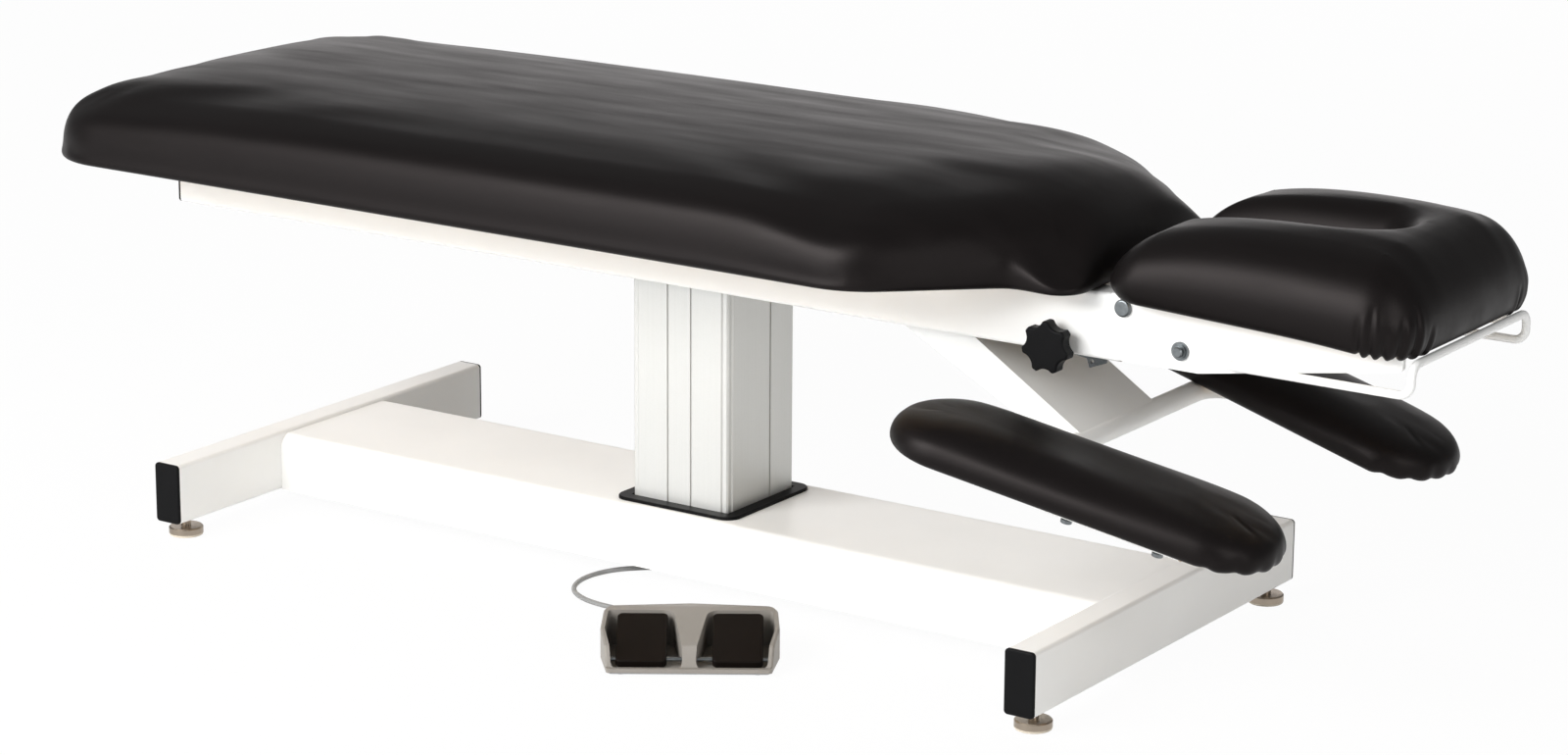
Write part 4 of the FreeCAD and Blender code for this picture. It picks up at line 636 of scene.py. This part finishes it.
# Expanded vinyl on a knit back, embossed with a fine leather grain: near-black with a low, broad sheen
def upholsteryVinyl(settings):
    material, tree, shader, place = startMaterial("upholstery_vinyl", Specular_IOR_Level=settings["specular"],
                                                  Specular_Tint=linear(settings["tint"]))
    scale = 1 / (settings["pebble"] * mm)
    pebbles = addNode(tree, "ShaderNodeTexVoronoi", {"Vector": place, "Scale": scale, "Randomness": 0.9},
                      feature="SMOOTH_F1")
    pores = addNode(tree, "ShaderNodeTexNoise",
                    {"Vector": place, "Scale": scale * settings["pores"], "Detail": 3.0})
    stretched = addNode(tree, "ShaderNodeMapping", {"Vector": place, "Scale": (settings["stretch"], 1.0, 1.0)})
    creases = addNode(tree, "ShaderNodeTexNoise", {
        "Vector": stretched, "Scale": 1 / (settings["crease"] * mm), "Detail": 5.0, "Roughness": 0.6,
    })
    fine = addNode(tree, "ShaderNodeMath", {0: pebbles, 1: pores}, operation="ADD")
    grain = addNode(tree, "ShaderNodeBump", {
        "Height": fine, "Strength": settings["grainStrength"], "Distance": settings["grainDepth"] * mm,
    })
    addNode(tree, "ShaderNodeBump", {
        "Height": creases, "Strength": settings["creaseStrength"], "Distance": settings["creaseDepth"] * mm,
        "Normal": grain,
    }, feeds=[shader["Normal"]])
    clouds = addNode(tree, "ShaderNodeTexNoise",
                     {"Vector": stretched, "Scale": 1 / (settings["cloud"] * mm), "Detail": 5.0})
    addNode(tree, "ShaderNodeMix", {0: clouds, 6: linear(settings["colour"]), 7: linear(settings["worn"])},
            feeds=[shader["Base Color"]], data_type="RGBA")
    addNode(tree, "ShaderNodeMapRange", {
        "Value": clouds, "From Min": 0.3, "From Max": 0.7,
        "To Min": settings["roughness"] - settings["spread"],
        "To Max": settings["roughness"] + settings["spread"],
    }, feeds=[shader["Roughness"]])
    return material


powder = {  # what every powder coat shares
    "specular": 0.45,
    "peelStrength": 0.12,
    "peelDepth": 0.12,  # mm
    "dust": 142.9,  # mm across the patches where fine dust dulls it
    "glossier": 0.04,
    "duller": 0.06,
}


# Steel under baked polyester powder: an even satin coat with a faint orange peel
def powderCoat(name, settings):
    material, tree, shader, place = startMaterial(name, Specular_IOR_Level=powder["specular"])
    peel = addNode(tree, "ShaderNodeTexNoise",
                   {"Vector": place, "Scale": 1 / (settings["peel"] * mm), "Detail": 2.0})
    addNode(tree, "ShaderNodeBump", {
        "Height": peel, "Strength": powder["peelStrength"], "Distance": powder["peelDepth"] * mm,
    }, feeds=[shader["Normal"]])
    dust = addNode(tree, "ShaderNodeTexNoise", {
        "Vector": place, "Scale": 1 / (powder["dust"] * mm), "Detail": 6.0, "Roughness": 0.6,
    })
    addNode(tree, "ShaderNodeMix", {0: dust, 6: linear(settings["colour"]), 7: linear(settings["soft"])},
            feeds=[shader["Base Color"]], data_type="RGBA")
    addNode(tree, "ShaderNodeMapRange", {
        "Value": dust, "To Min": settings["roughness"] - powder["glossier"],
        "To Max": settings["roughness"] + powder["duller"],
    }, feeds=[shader["Roughness"]])
    return material


anodised = {
    "colour": "#d6d6d3",
    "shade": "#c9c9c5",
    "metallic": 0.7,  # the etched oxide scatters some of the light like a plain surface
    "dieLine": 0.9,  # mm between the marks of the extrusion die, which run up the column
    "lineShare": 0.006,  # a mark's width as a share of its length
    "lineStrength": 0.2,
    "lineDepth": 0.05,
    "etch": 1.2,  # mm across the etched mottle
    "roughness": 0.46,
    "spread": 0.08,
}


# Extruded aluminium, etched and clear anodised: a soft metal sheen with faint upright die marks
def anodisedAluminium(settings):
    material, tree, shader, place = startMaterial("anodised_aluminium", Metallic=settings["metallic"])
    drawn = addNode(tree, "ShaderNodeMapping", {"Vector": place, "Scale": (1.0, 1.0, settings["lineShare"])})
    lines = addNode(tree, "ShaderNodeTexNoise", {
        "Vector": drawn, "Scale": 1 / (settings["dieLine"] * mm), "Detail": 3.0, "Roughness": 0.65,
    })
    addNode(tree, "ShaderNodeBump", {
        "Height": lines, "Strength": settings["lineStrength"], "Distance": settings["lineDepth"] * mm,
    }, feeds=[shader["Normal"]])
    etch = addNode(tree, "ShaderNodeTexNoise",
                   {"Vector": place, "Scale": 1 / (settings["etch"] * mm), "Detail": 2.0})
    mottle = addNode(tree, "ShaderNodeMath", {0: lines, 1: etch}, operation="MULTIPLY")
    addNode(tree, "ShaderNodeMix", {0: mottle, 6: linear(settings["colour"]), 7: linear(settings["shade"])},
            feeds=[shader["Base Color"]], data_type="RGBA")
    addNode(tree, "ShaderNodeMapRange", {
        "Value": lines, "To Min": settings["roughness"] - settings["spread"],
        "To Max": settings["roughness"] + settings["spread"],
    }, feeds=[shader["Roughness"]])
    return material


plating = {  # what every plated steel shares
    "mark": 0.4,  # mm between wipe marks
    "markDepth": 0.04,
    "glossier": 0.06,
    "duller": 0.1,
}


# Steel under a thin plate: its sheen clouds softly, and fine wipe marks break the reflection
def platedSteel(name, settings):
    material, tree, shader, place = startMaterial(name, Metallic=1.0)
    clouds = addNode(tree, "ShaderNodeTexNoise",
                     {"Vector": place, "Scale": 1 / (settings["cloud"] * mm), "Detail": 4.0})
    marks = addNode(tree, "ShaderNodeTexNoise",
                    {"Vector": place, "Scale": 1 / (plating["mark"] * mm), "Detail": 2.0})
    addNode(tree, "ShaderNodeBump", {
        "Height": marks, "Strength": settings["marks"], "Distance": plating["markDepth"] * mm,
    }, feeds=[shader["Normal"]])
    addNode(tree, "ShaderNodeMix", {0: clouds, 6: linear(settings["colour"]), 7: linear(settings["shade"])},
            feeds=[shader["Base Color"]], data_type="RGBA")
    addNode(tree, "ShaderNodeMapRange", {
        "Value": clouds, "To Min": settings["roughness"] - plating["glossier"],
        "To Max": settings["roughness"] + plating["duller"],
    }, feeds=[shader["Roughness"]])
    return material


foot = {
    "colour": "#a09486",
    "sole": "#c9bfae",
    "soleHeight": 2.6,  # mm up from the floor
    "knurl": 1.6,  # mm between the ribs round the disc, which stand upright
    "ribShare": 0.05,  # a rib's width as a share of its length
    "ribStrength": 0.3,
    "ribDepth": 0.2,
    "roughness": 0.33,
    "glossier": 0.05,
    "duller": 0.12,
}


# Nickel-plated steel disc on a pale nylon sole: a warm metal with a ribbed rim, and a matt edge under it
def levellingFoot(settings):
    material, tree, shader, place = startMaterial("nickel_plated_foot")
    height = addNode(tree, "ShaderNodeSeparateXYZ", {"Vector": place}).node.outputs["Z"]
    plated = addNode(tree, "ShaderNodeMath", {0: height, 1: settings["soleHeight"] * mm},
                     feeds=[shader["Metallic"]], operation="GREATER_THAN")
    drawn = addNode(tree, "ShaderNodeMapping", {"Vector": place, "Scale": (1.0, 1.0, settings["ribShare"])})
    ribs = addNode(tree, "ShaderNodeTexNoise",
                   {"Vector": drawn, "Scale": 1 / (settings["knurl"] * mm), "Detail": 2.0})
    addNode(tree, "ShaderNodeBump", {
        "Height": ribs, "Strength": settings["ribStrength"], "Distance": settings["ribDepth"] * mm,
    }, feeds=[shader["Normal"]])
    addNode(tree, "ShaderNodeMix", {0: plated, 6: linear(settings["sole"]), 7: linear(settings["colour"])},
            feeds=[shader["Base Color"]], data_type="RGBA")
    addNode(tree, "ShaderNodeMapRange", {
        "Value": ribs, "To Min": settings["roughness"] - settings["glossier"],
        "To Max": settings["roughness"] + settings["duller"],
    }, feeds=[shader["Roughness"]])
    return material


sparkTexture = {  # what every moulded piece shares
    "strength": 0.3,
    "depth": 0.1,  # mm
    "drift": 25.0,  # mm across the patches where the colour drifts
    "glossier": 0.06,
    "duller": 0.08,
}


# Moulded plastic or rubber: the tool's fine spark texture dulls it, and the colour drifts a little
def moulded(name, settings):
    material, tree, shader, place = startMaterial(name, IOR=settings["ior"],
                                                  Specular_IOR_Level=settings["specular"])
    spark = addNode(tree, "ShaderNodeTexNoise", {
        "Vector": place, "Scale": 1 / (settings["texture"] * mm), "Detail": 3.0, "Roughness": 0.6,
    })
    addNode(tree, "ShaderNodeBump", {
        "Height": spark, "Strength": sparkTexture["strength"], "Distance": sparkTexture["depth"] * mm,
    }, feeds=[shader["Normal"]])
    drift = addNode(tree, "ShaderNodeTexNoise",
                    {"Vector": place, "Scale": 1 / (sparkTexture["drift"] * mm), "Detail": 4.0})
    addNode(tree, "ShaderNodeMix", {0: drift, 6: linear(settings["colour"]), 7: linear(settings["shade"])},
            feeds=[shader["Base Color"]], data_type="RGBA")
    addNode(tree, "ShaderNodeMapRange", {
        "Value": spark, "To Min": settings["roughness"] - sparkTexture["glossier"],
        "To Max": settings["roughness"] + sparkTexture["duller"],
    }, feeds=[shader["Roughness"]])
    return material


plywood = {
    "colour": "#d9bf96",
    "grainColour": "#b8935f",
    "glueColour": "#5c4326",
    "grain": 2.2,  # mm between the veins of a face
    "grainShare": 0.05,  # a vein's width as a share of its length
    "grainStrength": 0.2,
    "grainDepth": 0.15,
    "ply": 1.4,  # mm of each veneer
    "waveBand": math.pi / 10,  # one band of the wave texture at a scale of 1
    "glueShare": 0.12,  # how much of each band is glue
    "edgeSlope": 0.7,  # a normal that leans more than this is an edge and not a face
    "roughness": 0.6,
}


# Birch plywood: long pale grain on its faces and thin dark glue lines along its edges
def birchPlywood(name, tilt, settings):
    material, tree, shader, place = startMaterial(name, Roughness=settings["roughness"])
    level = addNode(tree, "ShaderNodeMapping", {"Vector": place, "Rotation": (0, math.radians(-tilt), 0)})
    drawn = addNode(tree, "ShaderNodeMapping", {"Vector": level, "Scale": (settings["grainShare"], 1.0, 1.0)})
    grain = addNode(tree, "ShaderNodeTexNoise", {
        "Vector": drawn, "Scale": 1 / (settings["grain"] * mm), "Detail": 5.0, "Distortion": 0.6,
    })
    faces = {0: grain, 6: linear(settings["colour"]), 7: linear(settings["grainColour"])}
    veneer = addNode(tree, "ShaderNodeMix", faces, data_type="RGBA")
    plies = addNode(tree, "ShaderNodeTexWave", {
        "Vector": level, "Scale": settings["waveBand"] / (settings["ply"] * mm),
    }, bands_direction="Z")
    glue = addNode(tree, "ShaderNodeMath", {0: plies, 1: settings["glueShare"]}, operation="LESS_THAN")
    normal = addNode(tree, "ShaderNodeNewGeometry").node.outputs["Normal"]
    upward = addNode(tree, "ShaderNodeSeparateXYZ", {"Vector": normal}).node.outputs["Z"]
    upright = addNode(tree, "ShaderNodeMath", {0: upward}, operation="ABSOLUTE")
    edge = addNode(tree, "ShaderNodeMath", {0: upright, 1: settings["edgeSlope"]}, operation="LESS_THAN")
    line = addNode(tree, "ShaderNodeMath", {0: glue, 1: edge}, operation="MULTIPLY")
    addNode(tree, "ShaderNodeMix", {0: line, 6: veneer, 7: linear(settings["glueColour"])},
            feeds=[shader["Base Color"]], data_type="RGBA")
    addNode(tree, "ShaderNodeBump", {
        "Height": grain, "Strength": settings["grainStrength"], "Distance": settings["grainDepth"] * mm,
    }, feeds=[shader["Normal"]])
    return material


plainFinishes = {
    "whiteCoat": {"colour": "#f2f2f0", "soft": "#ebebe9", "peel": 2.6, "roughness": 0.36},
    "blackCoat": {"colour": "#1b1b1c", "soft": "#232324", "peel": 2.2, "roughness": 0.3},
    "zinc": {"colour": "#8f9395", "shade": "#5c6163", "cloud": 6.0, "marks": 0.3, "roughness": 0.32},
    "chrome": {"colour": "#cfd1d3", "shade": "#c4c6c8", "cloud": 20.0, "marks": 0.05, "roughness": 0.12},
    "galvanised": {"colour": "#a9adb0", "shade": "#8b9094", "cloud": 3.0, "marks": 0.4, "roughness": 0.44},
    "nylon": {
        "colour": "#0b0b0c", "shade": "#101011", "texture": 0.9,
        "roughness": 0.46, "ior": 1.53, "specular": 0.08,
    },
    "polyethylene": {
        "colour": "#b39b84", "shade": "#a68d76", "texture": 1.0,
        "roughness": 0.5, "ior": 1.51, "specular": 0.4,
    },
    "acetal": {
        "colour": "#e8e6df", "shade": "#dfddd5", "texture": 1.5,
        "roughness": 0.4, "ior": 1.48, "specular": 0.45,
    },
    "housing": {
        "colour": "#8d8882", "shade": "#858079", "texture": 0.8,
        "roughness": 0.45, "ior": 1.54, "specular": 0.4,
    },
    "pedal": {
        "colour": "#110d0b", "shade": "#16110e", "texture": 1.2,
        "roughness": 0.42, "ior": 1.52, "specular": 0.08,
    },
    "casing": {
        "colour": "#6f7274", "shade": "#66696b", "texture": 1.0,
        "roughness": 0.5, "ior": 1.54, "specular": 0.4,
    },
    "rubber": {
        "colour": "#202021", "shade": "#29292a", "texture": 0.7,
        "roughness": 0.72, "ior": 1.52, "specular": 0.25,
    },
    "flex": {
        "colour": "#8b8b8a", "shade": "#7f7f7e", "texture": 1.1,
        "roughness": 0.5, "ior": 1.53, "specular": 0.4,
    },
}

whiteCoat = powderCoat("white_powder_coat", plainFinishes["whiteCoat"])
finishes = {  # by the slot that each piece's row of the record names
    "cushion_vinyl": upholsteryVinyl(vinyl),
    "frame_white": whiteCoat,
    "column_alloy": anodisedAluminium(anodised),
    "bright_steel": platedSteel("zinc_plated_steel", plainFinishes["zinc"]),
    "foot_nickel": levellingFoot(foot),
    "black_plastic": moulded("black_moulded_nylon", plainFinishes["nylon"]),
    "glide_plastic": moulded("acetal", plainFinishes["acetal"]),
    "actuator_grey": moulded("grey_abs_casing", plainFinishes["casing"]),
    "rod_chrome": platedSteel("hard_chrome", plainFinishes["chrome"]),
    "spring_black": powderCoat("black_powder_coat", plainFinishes["blackCoat"]),
    "board_ply": birchPlywood("birch_plywood", 0.0, plywood),
    "plug_beige": moulded("beige_polyethylene", plainFinishes["polyethylene"]),
    "switch_grey": moulded("grey_abs", plainFinishes["housing"]),
    "pedal_dark": moulded("dark_moulded_abs", plainFinishes["pedal"]),
    "switch_rubber": moulded("rubber", plainFinishes["rubber"]),
    "switch_plate": platedSteel("galvanised_steel", plainFinishes["galvanised"]),
    "cord_grey": moulded("grey_pvc", plainFinishes["flex"]),
}


def dress(piece, material):
    piece.data.materials.clear()
    piece.data.materials.append(material)


for row in frame["record"]["subparts"]:
    dress(nodes[row["node"]], finishes[row["material_slot"]])
for piece in [mainCushionPiece, headCushionPiece, *armPadPieces]:
    dress(piece, finishes["cushion_vinyl"])
dress(cordPiece, finishes["cord_grey"])
for name, tilt in (("headpiece_board", headCushion["tilt"]), ("arm_boards", armPads["slope"])):
    dress(nodes[name], birchPlywood("birch_plywood_" + name, tilt, plywood))
dress(nodes["arm_pivot_pin"], whiteCoat)  # its head is painted over with the rails
print("materials set")

stage = {
    "floorColour": "#f4f4f4",
    "floorSize": 40.0,  # metres
    "floorDrop": 0.5,  # mm below the feet
    "floorRoughness": 0.9,
    "whiteShare": 0.96,  # how white the floor is to the camera, in gloss and through glass
    "ambient": 0.27,
    "aim": (0.0, 0.0, 0.4),
    "lamps": [  # name, place in metres, size, watts, colour
        ("back_left", (-2.3, 4.4, 1.3), (5.0, 1.4), 33, (1.0, 0.965, 0.96)),
        ("front_high", (-1.1, -3.7, 2.4), (3.4, 1.5), 215, (1.0, 1.0, 1.0)),
        ("front_low", (-1.3, -4.0, 0.8), (3.6, 0.7), 46, (0.97, 0.98, 1.0)),
        ("right_fill", (3.8, -1.6, 1.6), (1.6, 1.6), 40, (1.0, 1.0, 1.0)),
    ],
}


# Pale studio floor that shows almost white to the camera but keeps a trace of the table's shadow, a white
# world and soft lamps
def makeStage(settings):
    bpy.ops.mesh.primitive_plane_add(size=settings["floorSize"], location=(0, 0, -settings["floorDrop"] * mm))
    floor = bpy.context.object
    floor.name = "floor"
    material, tree, shader, _ = startMaterial("studio_floor", Roughness=settings["floorRoughness"])
    shader["Base Color"].default_value = linear(settings["floorColour"])
    rays = addNode(tree, "ShaderNodeLightPath").node.outputs
    seen = rays["Is Camera Ray"]
    for ray in ("Is Glossy Ray", "Is Transmission Ray"):
        seen = addNode(tree, "ShaderNodeMath", {0: seen, 1: rays[ray]}, operation="MAXIMUM")
    share = addNode(tree, "ShaderNodeMath", {0: seen, 1: settings["whiteShare"]}, operation="MULTIPLY")
    white = addNode(tree, "ShaderNodeEmission", {"Color": (1, 1, 1, 1), "Strength": 1.0})
    addNode(tree, "ShaderNodeMixShader", {0: share, 1: tree.nodes["Principled BSDF"].outputs[0], 2: white},
            feeds=[tree.nodes["Material Output"].inputs["Surface"]])
    dress(floor, material)
    world = bpy.data.worlds.new("studio")
    scene.world = world
    world.use_nodes = True
    background = world.node_tree.nodes["Background"].inputs
    background["Color"].default_value = (1, 1, 1, 1)
    background["Strength"].default_value = settings["ambient"]
    for name, place, size, power, colour in settings["lamps"]:
        data = bpy.data.lights.new(name, "AREA")
        data.shape = "RECTANGLE"
        data.size, data.size_y = size
        data.energy = power
        data.color = colour
        lamp = bpy.data.objects.new(name, data)
        lamp.location = place
        lamp.rotation_euler = (Vector(settings["aim"]) - Vector(place)).to_track_quat("-Z", "Y").to_euler()
        scene.collection.objects.link(lamp)


makeStage(stage)
scene.view_settings.view_transform = "Standard"
print("stage set")

bpy.context.view_layer.update()
